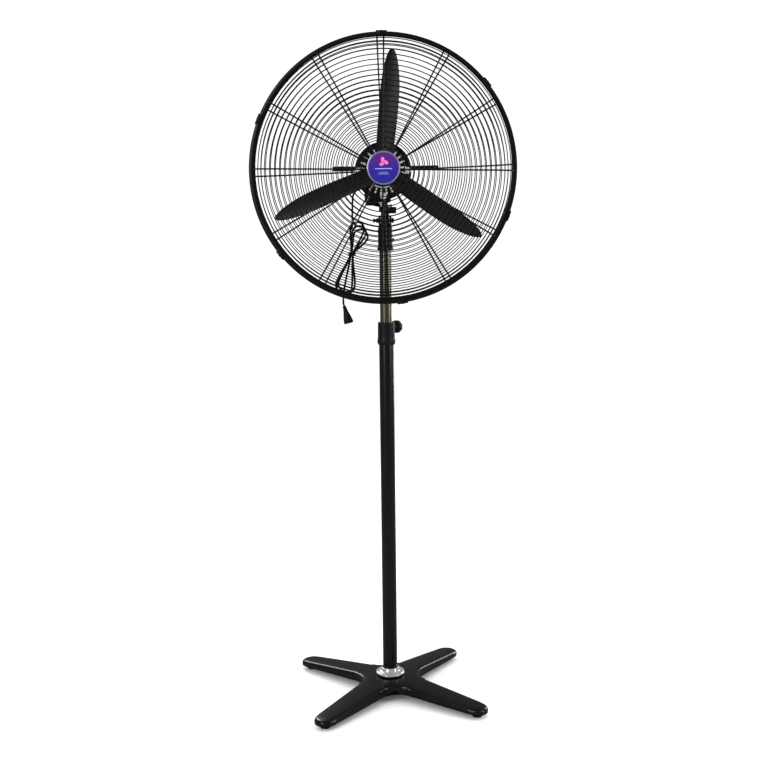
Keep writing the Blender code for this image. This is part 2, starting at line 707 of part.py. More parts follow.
def build_guard(name, rear, turn, rings, seat_profile, head):
    """Rings and spokes welded to a centre plate, all one piece."""
    guard = turned(name, seat_profile, SATIN_BLACK, forward=0.0, sides=24)
    rim_radius = GUARD_RADIUS - RIM_WIRE
    wires = []
    for number, radius in enumerate(rings + [rim_radius]):
        forward = guard_profile(radius, rear)
        thick = RIM_WIRE if radius == rim_radius else RING_WIRE
        sides = 12 * (2 if radius < 0.2 else 3)
        loop = circle_points(radius, sides, forward, turn + math.pi / sides)
        wires.append(wire(f"{name}_ring_{number}", loop, thick, SATIN_BLACK, closed=True, sides=4))
    inner = 0.0765 if rear else 0.0380
    reaches = [inner + (rim_radius - inner) * t for t in (0.0, 0.58, 0.78, 0.90, 0.97, 1.0)]
    side = -1 if rear else 1
    for number in range(SPOKES):
        angle = turn + 2 * math.pi * number / SPOKES
        spoke = [
            Vector((r * math.cos(angle), r * math.sin(angle), guard_profile(r, rear) + side * 0.0014 * (r < rim_radius)))
            for r in reaches
        ]
        wires.append(wire(f"{name}_spoke_{number}", spoke, SPOKE_WIRE, SATIN_BLACK, sides=4))
    lying = Matrix.Translation((HUB_SIDE, 0.0, HUB_HEIGHT)) @ Matrix.Rotation(math.pi / 2, 4, "X")
    for piece in wires:
        piece.matrix_world = lying
        join(guard, as_mesh(piece))
    hang(guard, head)
    return guard


def build_guards(head):
    rings = [0.1500, 0.2350, 0.3150]
    rear_seat = [
        (0.0790, 0.1157),
        (0.0790, 0.1123),
        (0.0300, 0.1123),
        (0.0300, 0.1157),
    ]
    rear = build_guard("rear_guard", True, REAR_SPOKE_TURN, rings, rear_seat, head)
    for number in range(4):
        angle = number * math.pi / 2
        start, end = (on_motor_axis(SCREW_CIRCLE, angle, f) for f in (0.1000, 0.1200))
        cut(rear, rod(f"guard_hole_{number + 1}", start, end, 0.0026, SATIN_BLACK, sides=8))
    front_seat = [
        (0.0430, 0.2462),
        (0.0430, 0.2410),
        (0.0300, 0.2410),
        (0.0300, 0.2462),
    ]
    build_guard("front_guard", False, FRONT_SPOKE_TURN, [0.0900] + rings, front_seat, head)
    badge = turned(
        "badge_plate",
        [
            (0.0, 0.2515),
            (0.0400, 0.2505),
            (BADGE_RADIUS, 0.2485),
            (BADGE_RADIUS, 0.2465),
            (0.0, 0.2465),
        ],
        BADGE_BLUE,
        forward=0.0,
        sides=24,
    )
    hang(badge, head)
    for number, degrees in enumerate(CLIP_ANGLES):
        angle = math.radians(degrees)
        outer = GUARD_RADIUS + 0.0040
        clip = box(
            f"guard_clip_{number + 1}",
            (GUARD_RADIUS + GAP, -0.0140, 0.1690),
            (outer, 0.0140, 0.1930),
            SATIN_BLACK,
        )
        place = clip.location.copy()
        spin = Matrix.Rotation(angle, 4, "Z")
        lying = Matrix.Translation((HUB_SIDE, 0.0, HUB_HEIGHT)) @ Matrix.Rotation(math.pi / 2, 4, "X")
        clip.matrix_world = lying @ spin @ Matrix.Translation(place)
        hang(clip, head)


# ---------------------------------------------------------------- rotor


def blade_half_width(radius):
    """Half the blade's width seen from the front: widest beyond the middle and round at the tip."""
    along = min(radius / BLADE_TIP, 1.0)
    swell = 0.0195 + 0.0080 * math.sin(math.pi * min(along / 1.15, 1.0)) ** 1.2
    tip = math.sqrt(max(1 - (max(along - 0.62, 0.0) / 0.38) ** 2.4, 0.0))
    return max(swell * tip, 0.0015)


def blade_pitch(radius):
    return math.radians(38.0 - 16.0 * radius / BLADE_TIP)


def bladed_surface(name, start, end, rows, width, back, thickness, turn, finish):
    """A twisted strip along a radius of the motor's axis, given its thickness by Solidify."""
    bm = bmesh.new()
    bmesh.ops.create_grid(bm, x_segments=rows, y_segments=4, size=0.5)
    for vertex in bm.verts:
        radius = start + (end - start) * (vertex.co.x + 0.5)
        across = 2 * vertex.co.y * width(radius)
        camber = 0.0030 * (1 - (2 * vertex.co.y) ** 2)
        vertex.co = (radius, across, across * math.tan(blade_pitch(radius)) + camber - back)
    mesh = bpy.data.meshes.new(name)
    bm.to_mesh(mesh)
    bm.free()
    obj = add(name, mesh, finish)
    skin = obj.modifiers.new("sheet", "SOLIDIFY")
    skin.thickness = thickness
    skin.offset = 0.0
    obj.rotation_euler = (math.pi / 2, 0.0, 0.0)
    obj.matrix_world = (
        Matrix.Translation((HUB_SIDE, -BLADE_PLANE, HUB_HEIGHT))
        @ Matrix.Rotation(math.pi / 2, 4, "X")
        @ Matrix.Rotation(turn, 4, "Z")
    )
    return obj


def build_rotor(body):
    worm = []
    for turn_number in range(3):
        middle = -0.0400 + 0.0080 * turn_number
        worm += [(SHAFT_RADIUS, middle + 0.0030), (WORM_RADIUS, middle + 0.0010), (SHAFT_RADIUS, middle - 0.0030)]
    shaft = turned(
        "rotor_shaft",
        [(0.0, 0.1860), (SHAFT_RADIUS, 0.1860)]
        + [(SHAFT_RADIUS, -0.0180)]
        + sorted(worm, key=lambda point: -point[1])
        + [(SHAFT_RADIUS, -0.0480), (0.0, -0.0480)],
        STEEL,
        forward=0.0,
        sides=12,
    )
    core = turned(
        "rotor_core", tube_profile(0.0405, SHAFT_RADIUS + GAP, 0.0560, 0.0940), STEEL, forward=0.0, sides=20
    )
    hub = turned(
        "blade_hub",
        [
            (0.0200, 0.1800),
            (0.0240, 0.1700),
            (0.0240, 0.1400),
            (SHAFT_RADIUS + GAP, 0.1400),
            (SHAFT_RADIUS + GAP, 0.1800),
        ],
        SATIN_BLACK,
        forward=0.0,
        sides=24,
    )
    pieces = [shaft, core, hub]
    for number in range(BLADES):
        turn = BLADE_TURNS[number]
        arm = bladed_surface(
            f"hub_arm_{number + 1}", 0.0180, 0.1000, 4, lambda radius: 0.0130, 0.0045, 0.0030, turn, SATIN_BLACK
        )
        join(hub, arm)
        pieces.append(
            bladed_surface(
                f"blade_{number + 1}", 0.0340, BLADE_TIP, 10, blade_half_width, 0.0, 0.0018, turn, BLADE_GREY
            )
        )
    for piece in pieces:
        hang(piece, body)


# ---------------------------------------------------------------- swinging gear


def build_worm_wheel(body):
    teeth, outer, root = 24, 0.0180, 0.0163
    outline = []
    for tooth in range(teeth):
        middle = 2 * math.pi * tooth / teeth
        for radius, shift in ((root, -0.075), (outer, -0.035), (outer, 0.035), (root, 0.075)):
            angle = middle + shift
            outline.append((radius * math.cos(angle), radius * math.sin(angle)))
    wheel = as_mesh(outline_plate("worm_wheel", outline, 0.0090, BRASS))
    wheel.location = (*CRANK_CENTRE, HUB_HEIGHT)
    bore = rod(
        "wheel_bore", (*CRANK_CENTRE, HUB_HEIGHT - 0.02), (*CRANK_CENTRE, HUB_HEIGHT + 0.02), 0.0056, BRASS, sides=12
    )
    cut(wheel, bore)
    hang(wheel, body)


def build_crank(body):
    disc = turned(
        "crank_disc",
        [
            (0.0, 1.5960),
            (0.0050, 1.5960),
            (0.0050, 1.4912),
            (CRANK_THROW + 0.0050, 1.4912),
            (CRANK_THROW + 0.0050, 1.4872),
            (0.0, 1.4872),
        ],
        STEEL,
        sides=24,
    )
    disc.location = (*CRANK_CENTRE, 0.0)
    place = CRANK_CENTRE + CRANK_THROW * Vector((math.cos(CRANK_PHASE), math.sin(CRANK_PHASE)))
    pin = rod("crank_pin", (*place, 1.4822), (*place, 1.4880), 0.0025, STEEL, sides=12)
    join(disc, pin)
    hang(disc, body)


def build_link(body):
    """A flat bar, its eye on the bracket's pin and its wider eye round the crank pin."""
    way = Vector((math.cos(LINK_PHASE), math.sin(LINK_PHASE)))
    end = ANCHOR + LINK_LENGTH * way
    across = Vector((-way.y, way.x))
    outline = []
    for centre, radius, first in ((end, 0.0062, -90), (ANCHOR, 0.0052, 90)):
        for step in range(7):
            angle = math.radians(first + 30 * step)
            outline.append(centre + radius * (math.cos(angle) * way + math.sin(angle) * across))
    bar = as_mesh(outline_plate("link_bar", outline, LINK_TOP - LINK_FOOT, STEEL))
    bar.location = (0.0, 0.0, (LINK_TOP + LINK_FOOT) / 2)
    for name, centre, radius in (("link_eye", ANCHOR, 0.0033), ("link_slot", end, 0.0040)):
        cut(bar, rod(name, (*centre, 1.47), (*centre, 1.50), radius, STEEL, sides=20))
    hang(bar, body)


def build_oscillation_knob(body):
    place = CRANK_CENTRE
    knob = turned(
        "oscillation_knob",
        [
            (0.0, 1.6500),
            (0.0080, 1.6500),
            (0.0105, 1.6470),
            (0.0105, 1.6400),
            (0.0060, 1.6340),
            (0.0060, 1.6216),
            (0.0030, 1.6216),
            (0.0030, 1.6000),
            (0.0, 1.6000),
        ],
        PLASTIC,
        sides=12,
    )
    knob.location = (*place, 0.0)
    hang(knob, body)


def build_speed_knob(body):
    knob = rod("speed_knob", (-0.0700, 0.0625, 1.5680), (-0.0700, 0.0760, 1.5680), 0.0105, PLASTIC, end_radius=0.0095, sides=12)
    stem = rod("speed_stem", (-0.0700, 0.0480, 1.5680), (-0.0700, 0.0650, 1.5680), 0.0032, PLASTIC, sides=12)
    pointer = box("speed_pointer", (-0.0712, 0.0750, 1.5690), (-0.0688, 0.0775, 1.5770), PLASTIC)
    join(knob, stem, pointer)
    hang(knob, body)


# ---------------------------------------------------------------- mains lead


def smooth_route(points, spacing):
    """Points a set distance apart on a smooth curve through the route's own points."""
    dense = []
    ends = [2 * points[0] - points[1], *points, 2 * points[-1] - points[-2]]
    for a, b, c, d in zip(ends, ends[1:], ends[2:], ends[3:]):
        for step in range(20):
            t = step / 20
            dense.append(
                0.5 * (2 * b + (c - a) * t + (2 * a - 5 * b + 4 * c - d) * t**2 + (3 * b - a - 3 * c + d) * t**3)
            )
    dense.append(points[-1])
    kept, since = [dense[0]], 0.0
    for before, here in zip(dense, dense[1:]):
        since += (here - before).length
        if since >= spacing:
            kept.append(here)
            since = 0.0
    if (kept[-1] - dense[-1]).length < spacing / 2:
        kept.pop()
    return kept + [dense[-1]]


def hank_outline():
    """The hank from the front: a waist where it is tied, low loops that lean left, high ones that lean right."""
    left = [(HANK_WAIST, -0.1075), (1.3150, -0.1215), (1.2850, -0.1390), (1.2560, -0.1500), (1.2330, -0.1470)]
    left += [(1.2210, -0.1360)]
    right = [(1.2210, -0.1070), (1.2370, -0.0920), (1.2600, -0.0885), (1.3050, -0.0890), (HANK_WAIST, -0.0885)]
    right += [(1.3700, -0.0700), (1.3930, -0.0505), (1.4150, -0.0500), (1.4340, -0.0600), (1.4430, -0.0740)]
    right += [(1.4380, -0.0880), (HANK_TOP, -0.0925)]
    edge = left + [(HANK_FOOT, -0.1290), (HANK_FOOT, -0.1160)] + right
    edge += [(HANK_TOP, -0.1010), (1.3950, -0.1010), (1.3650, -0.1060)]
    return [(side, height) for height, side in edge]


def build_cord(head):
    plane = CORD_PLANE
    front = plane - 1.5 * CORD_LAYER
    lead_route = [
        GLAND_START + (GLAND_LENGTH + GAP) * GLAND_WAY,
        GLAND_START + (GLAND_LENGTH + 0.0120) * GLAND_WAY,
        Vector((-0.0948, plane - 0.0020, 1.4900)),
        Vector((-0.0955, plane - 0.0060, 1.4630)),
        Vector((-0.0962, front, HANK_TOP + 0.0120)),
        Vector((-0.0962, front, HANK_TOP + GAP)),
    ]
    lead = wire("cord_lead", smooth_route(lead_route, 0.008), CORD_RADIUS, RUBBER, sides=8)
    hank = as_mesh(outline_plate("cord_hank", hank_outline(), HANK_DEPTH, RUBBER))
    hank.matrix_world = Matrix.Translation((0.0, plane, 0.0)) @ Matrix.Rotation(math.pi / 2, 4, "X")
    tail_route = [
        Vector((-0.1260, TAIL_PLANE, HANK_FOOT - GAP)),
        Vector((-0.1264, TAIL_PLANE, HANK_FOOT - 0.0080)),
        PLUG_TOP - 0.0080 * PLUG_WAY,
        PLUG_TOP - GAP * PLUG_WAY,
    ]
    tail = wire("cord_tail", smooth_route(tail_route, 0.006), CORD_RADIUS, RUBBER, sides=8)
    neck = rod("plug", PLUG_TOP, PLUG_TOP + 0.020 * PLUG_WAY, 0.0044, RUBBER, end_radius=0.0080, sides=16)
    grip = rod(
        "plug_grip", PLUG_TOP + 0.018 * PLUG_WAY, PLUG_TOP + PLUG_LENGTH * PLUG_WAY, 0.0080, RUBBER, end_radius=0.0142
    )
    join(neck, grip)
    side = Vector((-PLUG_WAY.z, 0.0, PLUG_WAY.x))
    for number in (-1, 1):
        start = PLUG_TOP + 0.0420 * PLUG_WAY + number * 0.0060 * side + Vector((0.0, 0.0060, 0.0))
        end = start + Vector((0.0, PIN_LENGTH + 0.0060, 0.0))
        join(neck, rod(f"plug_pin_{number + 2}", start, end, 0.0024, BRASS, sides=10))
    for piece in (lead, hank, tail, neck):
        hang(piece, head)


# ---------------------------------------------------------------- the fan


def build_fan():
    stand = frame_at("stand", (0.0, 0.0, 0.0))
    mast = frame_at("height_axis", (0.0, 0.0, COLLAR_TOP), stand)
    tilt = frame_at("tilt_axis", (0.0, 0.0, TILT_HEIGHT), mast)
    head = frame_at("swing_axis", (0.0, 0.0, PLATFORM_TOP), tilt)
    rotor = frame_at("motor_axis", (HUB_SIDE, -BLADE_PLANE, HUB_HEIGHT), head)
    wheel = frame_at("worm_wheel_axis", (*CRANK_CENTRE, HUB_HEIGHT), head)
    crank = frame_at("crank_axis", (*CRANK_CENTRE, LINK_TOP), head)
    link = frame_at("link_axis", (*ANCHOR, LINK_FOOT), tilt)
    push = frame_at("oscillation_knob_axis", (*CRANK_CENTRE, 1.6400), head)
    speed = frame_at("speed_knob_axis", (-0.0700, 0.0680, 1.5680), head)
    build_stand(stand)
    build_height_knob(stand)
    build_mast(mast)
    build_tilt(tilt)
    build_gearbox(head)
    build_motor(head)
    build_guards(head)
    build_rotor(rotor)
    build_worm_wheel(wheel)
    build_crank(crank)
    build_link(link)
    build_oscillation_knob(push)
    build_speed_knob(speed)
    build_cord(head)


build_fan()
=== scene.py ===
"""The looks of a pedestal fan: cast cross base, telescopic pole, tilting and swinging head, three blades
between two wire guards, and a mains lead tied up in a hank.

Metres, +Z up. The fan blows towards -Y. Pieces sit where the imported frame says.
"""

import math

import bmesh
import bpy
from mathutils import Matrix, Vector


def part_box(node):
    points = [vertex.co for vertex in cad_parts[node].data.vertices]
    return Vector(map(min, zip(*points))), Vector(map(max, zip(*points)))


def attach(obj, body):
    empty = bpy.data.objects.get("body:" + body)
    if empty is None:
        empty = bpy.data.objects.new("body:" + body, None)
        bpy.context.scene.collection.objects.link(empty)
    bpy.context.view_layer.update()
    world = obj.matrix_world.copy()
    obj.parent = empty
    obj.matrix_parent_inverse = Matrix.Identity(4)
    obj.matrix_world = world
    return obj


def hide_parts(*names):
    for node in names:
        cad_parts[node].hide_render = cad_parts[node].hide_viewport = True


bl_info = {
    "name": "Pedestal Fan Pieces",
    "version": (1, 0, 0),
    "blender": (4, 5, 0),
    "location": "3D View > Sidebar > Fan",
    "description": "Makes the visible pieces of a pedestal fan round its packed frame",
    "category": "Object",
}

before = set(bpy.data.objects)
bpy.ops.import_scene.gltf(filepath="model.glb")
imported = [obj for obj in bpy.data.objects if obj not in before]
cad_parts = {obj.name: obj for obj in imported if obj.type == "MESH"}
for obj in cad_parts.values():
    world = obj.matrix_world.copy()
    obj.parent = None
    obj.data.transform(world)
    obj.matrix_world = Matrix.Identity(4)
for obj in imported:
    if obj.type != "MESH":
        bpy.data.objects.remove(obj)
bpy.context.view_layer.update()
TURN = 2 * math.pi

# Places read from the frame
MOTOR_LOW, MOTOR_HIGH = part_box("motor_front_cover")
HUB = Vector(((MOTOR_LOW.x + MOTOR_HIGH.x) / 2, 0.0, (MOTOR_LOW.z + MOTOR_HIGH.z) / 2))
MOTOR_AXIS = Matrix.Translation(HUB) @ Matrix.Rotation(math.pi / 2, 4, "X")
BADGE_AXIS = Matrix.Translation((0.0016, 0.0, 0.004)) @ MOTOR_AXIS
POLE_SPAN = [corner.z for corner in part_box("outer_pole")]
TUBE_SPAN = [corner.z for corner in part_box("inner_tube")]
COLLAR_LOW, COLLAR_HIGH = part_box("clamp_collar")
SOCKET_LOW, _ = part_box("neck_socket")

# Base casting
LEG_ANGLE = math.radians(53.4)
LEG_ANGLES = tuple(LEG_ANGLE + leg * math.pi / 2 for leg in range(4))
LEG_REACH = 0.3475
LEG_TIP_HALF = 0.032
LEG_ROOT_HALF = 0.05
NOTCH_FILLET = 0.048
CENTRE_TOP = 0.059
TIP_TOP = 0.03
CENTRE_UNDER = 0.027
TIP_UNDER = 0.014
FOOT_REACH = 0.316
EDGE_ROUNDING = 0.009
EDGE_DROP = 0.007
CAST_WALL = 0.0055
LANES = 24  # of the casting's top, across a leg
STRAIGHT_STEPS, ROUND_STEPS = 38, 12  # along a leg, before and round its tip

# Pole, collar and neck
POLE_RADIUS, POLE_WALL = 0.0219, 0.0016
TUBE_RADIUS, TUBE_WALL = 0.0177, 0.0015
KNOB_ANGLE = math.radians(57.0)
KNOB_HEIGHT = 1.1257
SOCKET_TOP = 1.4222
SET_SCREW_HEIGHT = 1.385

# Head, as heights forward along the motor's axis where they are not the frame's own
SPEED_KNOB = Vector((-0.07, 0.0, 1.568))
FACING_BACK = Matrix.Rotation(-math.pi / 2, 4, "X")
CRANK_CENTRE = Vector((-0.03, 0.032))
FINS = 36
SLOTS = 16
RIBS = 24
FIRST_RIB = math.radians(9.0)
BOLTS = 4
BOLT_CIRCLE = 0.069

# Guards, as heights forward along the motor's axis
RIM_RADIUS = 0.3635
FIRST_RING = 0.0858
REAR_SPOKE_TURN = math.radians(1.95)
FRONT_SPOKE_TURN = math.radians(-1.0)
RIM_PLANE = 0.1815
SHOULDER_START = 0.25
CLIP_ANGLES = (39.0, 90.0, 157.5, 218.5, 278.0, 339.5)

# Blades
BLADE_PLANE = 0.16
BLADE_TURNS = tuple(math.radians(degrees) for degrees in (84.9, 203.2, 325.9))
BLADE_ROOT = 0.03
BLADE_TIP = 0.328

# Mains lead
CORD_PLANE = 0.032
CORD_LAYER = 0.0066
HANK_WAIST = Vector((-0.0985, 1.344))
WAIST_HALF = 0.0033
GLAND_START = Vector((-0.079, CORD_PLANE, 1.5445))
GLAND_WAY = Vector((-0.4, 0.0, -0.9165))
GLAND_LENGTH = 0.024
TAIL_PLANE = CORD_PLANE + 1.5 * CORD_LAYER
PLUG_TOP = Vector((-0.1247, TAIL_PLANE, 1.1906))
PLUG_WAY = Vector((0.25, 0.0, -0.9683))
PLUG_FLATNESS = 0.74
# Each loop's length, half its width, and its lean to one side
LOW_LOOPS = ((0.12, 0.028, -0.23), (0.113, 0.0245, -0.195), (0.1215, 0.0225, -0.255))
HIGH_LOOPS = ((0.0945, 0.0205, 0.23), (0.077, 0.021, 0.52), (0.085, 0.02, 0.36))


# ---------------------------------------------------------------- settings


class FanStageSettings(bpy.types.PropertyGroup):
    """Floor and camera."""

    floor_colour: bpy.props.FloatVectorProperty(
        name="Floor colour", description="Colour of the plain floor", subtype="COLOR",
        size=3, min=0.0, max=1.0, default=(0.96, 0.96, 0.96),
    )
    lens: bpy.props.FloatProperty(
        name="Lens", description="Focal length of the camera in millimetres", default=55.17, min=10.0,
        max=300.0, subtype="DISTANCE_CAMERA", unit="CAMERA",
    )
    camera_distance: bpy.props.FloatProperty(
        name="Camera distance", description="From the pole to the camera", default=3.4456, min=0.5,
        subtype="DISTANCE", unit="LENGTH",
    )
    camera_height: bpy.props.FloatProperty(
        name="Camera height", description="Above the floor", default=1.4803, min=0.0, subtype="DISTANCE",
        unit="LENGTH",
    )
    camera_pitch: bpy.props.FloatProperty(
        name="Camera pitch", description="How far the camera looks down", default=0.1487, subtype="ANGLE",
        unit="ROTATION",
    )


class FanFinishSettings(bpy.types.PropertyGroup):
    """Colours of the main finishes."""

    gloss_black: bpy.props.FloatVectorProperty(
        name="Gloss black", description="Paint of the base and the pole", subtype="COLOR", size=3,
        min=0.0, max=1.0, default=(0.0016, 0.0017, 0.0021),
    )
    satin_black: bpy.props.FloatVectorProperty(
        name="Satin black", description="Coating of the head, the neck and the guards", subtype="COLOR",
        size=3, min=0.0, max=1.0, default=(0.0026, 0.0026, 0.0029),
    )
    blade_grey: bpy.props.FloatVectorProperty(
        name="Blade grey", description="Paint of the blades", subtype="COLOR", size=3, min=0.0, max=1.0,
        default=(0.006, 0.0065, 0.008),
    )
    tube_nickel: bpy.props.FloatVectorProperty(
        name="Tube plating", description="Plating of the sliding tube", subtype="COLOR", size=3,
        min=0.0, max=1.0, default=(0.25, 0.235, 0.155),
    )
    badge_blue: bpy.props.FloatVectorProperty(
        name="Badge blue", description="Lower colour of the badge", subtype="COLOR", size=3, min=0.0, max=1.0,
        default=(0.009, 0.008, 0.23),
    )


class FanGuardSettings(bpy.types.PropertyGroup):
    """Wires of both guards."""

    spokes: bpy.props.IntProperty(
        name="Spokes", description="Spokes of each guard", default=12, min=3, max=36,
    )
    ring_pitch: bpy.props.FloatProperty(
        name="Ring pitch", description="From one ring to the next", default=0.0136, min=0.003,
        subtype="DISTANCE", unit="LENGTH",
    )
    ring_wire: bpy.props.FloatProperty(
        name="Ring wire", description="Radius of the rings' wire", default=0.0015, min=0.0003,
        subtype="DISTANCE", unit="LENGTH",
    )
    spoke_wire: bpy.props.FloatProperty(
        name="Spoke wire", description="Radius of the spokes' wire", default=0.0022, min=0.0003,
        subtype="DISTANCE", unit="LENGTH",
    )
    rim_wire: bpy.props.FloatProperty(
        name="Rim wire", description="Radius of the rims' wire", default=0.0036, min=0.0005,
        subtype="DISTANCE", unit="LENGTH",
    )


class FanCordSettings(bpy.types.PropertyGroup):
    """The mains lead."""

    diameter: bpy.props.FloatProperty(
        name="Cord diameter", description="Thickness of the mains lead", default=0.006, min=0.002, max=0.012,
        subtype="DISTANCE", unit="LENGTH",
    )


# ---------------------------------------------------------------- finishes

MADE_FINISHES = {}
BLACK_PLASTIC = "moulded_black_plastic"

# A colour given by name is one of the finish settings.
FINISHES = {
    "gloss_black_paint": dict(
        colour="gloss_black", roughness=0.27, grain=420.0, depth=0.00006, coat=0.1, specular=0.42,
    ),
    "satin_black_coating": dict(
        colour="satin_black", roughness=0.4, grain=900.0, depth=0.00012, spread=0.08, specular=0.3,
    ),
    "cast_black_paint": dict(
        colour="satin_black", roughness=0.42, grain=380.0, depth=0.00035, spread=0.1, tint=0.35, specular=0.3,
    ),
    "blade_paint": dict(
        colour="blade_grey", roughness=0.4, grain=600.0, depth=0.0001, tint=0.22, patch=14.0, specular=0.38,
    ),
    "tube_plating": dict(
        colour="tube_nickel", roughness=0.3, metallic=1.0, grain=60.0, spread=0.03, tint=0.12,
        stretch=(1.0, 1.0, 0.03), patch=30.0,
    ),
    # Real chrome, partly diffuse and pale: painted reflection that keeps it bright where little is mirrored.
    "bright_chrome": dict(
        colour=(0.72, 0.73, 0.74), roughness=0.15, metallic=0.7, grain=300.0, depth=0.00002, spread=0.05,
        tint=0.1,
    ),
    "bright_zinc": dict(
        colour=(0.86, 0.82, 0.81), roughness=0.24, metallic=0.25, grain=500.0, depth=0.00004, spread=0.08,
        tint=0.18,
    ),
    # Bare aluminium made pale and mostly diffuse: painted highlight for the glints on the shield's ribs.
    "raw_aluminium": dict(
        colour=(0.8, 0.8, 0.82), roughness=0.3, metallic=0.25, grain=420.0, depth=0.00015, spread=0.1,
        tint=0.18,
    ),
    BLACK_PLASTIC: dict(
        colour=(0.0032, 0.0032, 0.0035), roughness=0.46, grain=1100.0, depth=0.00015, spread=0.08,
        specular=0.3,
    ),
    "cord_rubber": dict(
        colour=(0.003, 0.003, 0.0032), roughness=0.5, grain=700.0, depth=0.00008, spread=0.08, specular=0.28,
    ),
    "foot_rubber": dict(
        colour=(0.004, 0.0039, 0.0038), roughness=0.7, grain=500.0, depth=0.00025, spread=0.1, tint=0.35,
        specular=0.25,
    ),
    "turned_steel": dict(
        colour=(0.5, 0.5, 0.49), roughness=0.28, metallic=1.0, grain=160.0, depth=0.00003, spread=0.1,
        stretch=(1.0, 0.1, 1.0),
    ),
    "blackened_steel": dict(
        colour=(0.012, 0.011, 0.01), roughness=0.38, metallic=0.8, grain=260.0, depth=0.00005, spread=0.1,
    ),
    "yellow_brass": dict(
        colour=(0.62, 0.44, 0.15), roughness=0.26, metallic=1.0, grain=300.0, depth=0.00004, spread=0.08,
    ),
    "pale_nylon": dict(
        colour=(0.58, 0.57, 0.52), roughness=0.42, grain=400.0, depth=0.0001, spread=0.08, tint=0.08,
    ),
    "badge_face": dict(colour=(0.02, 0.01, 0.2), roughness=0.22, grain=700.0, spread=0.04, coat=0.6),
    "badge_rim": dict(
        colour=(0.3, 0.28, 0.46), roughness=0.22, metallic=0.6, grain=500.0, depth=0.00003, spread=0.05,
        tint=0.15,
    ),
    "badge_pink": dict(colour=(0.85, 0.12, 0.42), roughness=0.35, grain=500.0, spread=0.05, patch=60.0),
    "badge_pale": dict(
        colour=(0.33, 0.34, 0.74), roughness=0.35, grain=500.0, spread=0.05, tint=0.15, patch=60.0,
    ),
    "laminated_core": dict(
        colour=(0.3, 0.3, 0.31), roughness=0.38, metallic=1.0, spread=0.05, bands=260.0, ridge=0.0003,
    ),
    "wound_copper": dict(
        colour=(0.6, 0.22, 0.08), roughness=0.3, metallic=1.0, spread=0.05, bands=210.0, ridge=0.0006,
        rings=True,
    ),
}


def finish_named(name):
    """The finish with this name, made the first time that a piece asks for it."""
    if name not in MADE_FINISHES:
        MADE_FINISHES[name] = make_finish(name, **FINISHES[name])
    return MADE_FINISHES[name]


def fill_inputs(node, inputs):
    """Links an input to the socket given for it, or sets its value."""
    for name, value in inputs.items():
        if isinstance(value, bpy.types.NodeSocket):
            node.id_data.links.new(value, node.inputs[name])
        else:
            node.inputs[name].default_value = value
    return node


def add_node(tree, kind, inputs):
    return fill_inputs(tree.nodes.new(kind), inputs)


def make_finish(name, colour, roughness, metallic=0.0, grain=220.0, depth=0.0, spread=0.06, tint=0.25,
                stretch=(1.0, 1.0, 1.0), coat=0.0, specular=0.5, patch=9.0, bands=0.0, ridge=0.0,
                rings=False):
    """Colour and gloss drift in broad patches, with a fine grain or bands raised on the surface."""
    if isinstance(colour, str):
        colour = getattr(bpy.context.scene.fan_finish, colour)
    made = bpy.data.materials.new(name)
    made.use_nodes = True
    tree = made.node_tree
    place = tree.nodes.new("ShaderNodeTexCoord").outputs["Object"]
    mapped = add_node(tree, "ShaderNodeMapping", {"Vector": place, "Scale": stretch}).outputs["Vector"]
    patches = add_node(tree, "ShaderNodeTexNoise", {"Vector": mapped, "Scale": patch, "Detail": 4.0})
    fine = add_node(tree, "ShaderNodeTexNoise", {"Vector": mapped, "Scale": grain, "Detail": 3.0})
    gloss = add_node(tree, "ShaderNodeMapRange", {
        "Value": fine.outputs["Fac"], "To Min": max(0.03, roughness - spread), "To Max": roughness + spread,
    })
    if name == "badge_face":
        base = badge_colour(tree, place)
    else:
        darker = [c * (1.0 - tint) for c in colour]
        paler = [min(1.0, c * (1.0 + tint)) for c in colour]
        base = add_ramp(tree, patches.outputs["Fac"], 0.3, darker, 0.72, paler)
    shader = fill_inputs(tree.nodes["Principled BSDF"], {
        "Metallic": metallic, "Coat Weight": coat, "Coat Roughness": 0.12, "Specular IOR Level": specular,
        "Base Color": base, "Roughness": gloss.outputs["Result"],
    })
    if depth:
        raised = add_bump(tree, fine.outputs["Fac"], 0.35, depth)
        fill_inputs(shader, {"Normal": raised})
    if bands:
        centre = add_node(tree, "ShaderNodeMapping", {"Vector": place, "Location": (-HUB.x, 0.0, -HUB.z)})
        wave = add_node(tree, "ShaderNodeTexWave", {"Vector": centre.outputs["Vector"], "Scale": bands})
        wave.wave_type = "RINGS" if rings else "BANDS"
        wave.rings_direction = wave.bands_direction = "Y"
        fill_inputs(shader, {"Normal": add_bump(tree, wave.outputs["Fac"], 0.6, ridge)})
    return made


def add_ramp(tree, source, low_place, low_colour, high_place, high_colour):
    ramp = add_node(tree, "ShaderNodeValToRGB", {"Fac": source})
    low, high = ramp.color_ramp.elements
    low.position, high.position = low_place, high_place
    low.color, high.color = (*low_colour, 1.0), (*high_colour, 1.0)
    return ramp.outputs["Color"]


def add_bump(tree, height, strength, distance):
    bump = add_node(tree, "ShaderNodeBump", {"Height": height, "Strength": strength, "Distance": distance})
    return bump.outputs["Normal"]


def badge_colour(tree, place):
    """Blue that turns purple towards the top of the badge."""
    split = add_node(tree, "ShaderNodeSeparateXYZ", {"Vector": place})
    climb = add_node(tree, "ShaderNodeMapRange", {
        "Value": split.outputs["Z"], "From Min": HUB.z - 0.03, "From Max": HUB.z + 0.042,
    })
    blue = bpy.context.scene.fan_finish.badge_blue
    return add_ramp(tree, climb.outputs["Result"], 0.35, blue, 1.0, (0.08, 0.006, 0.15))


# ---------------------------------------------------------------- making pieces


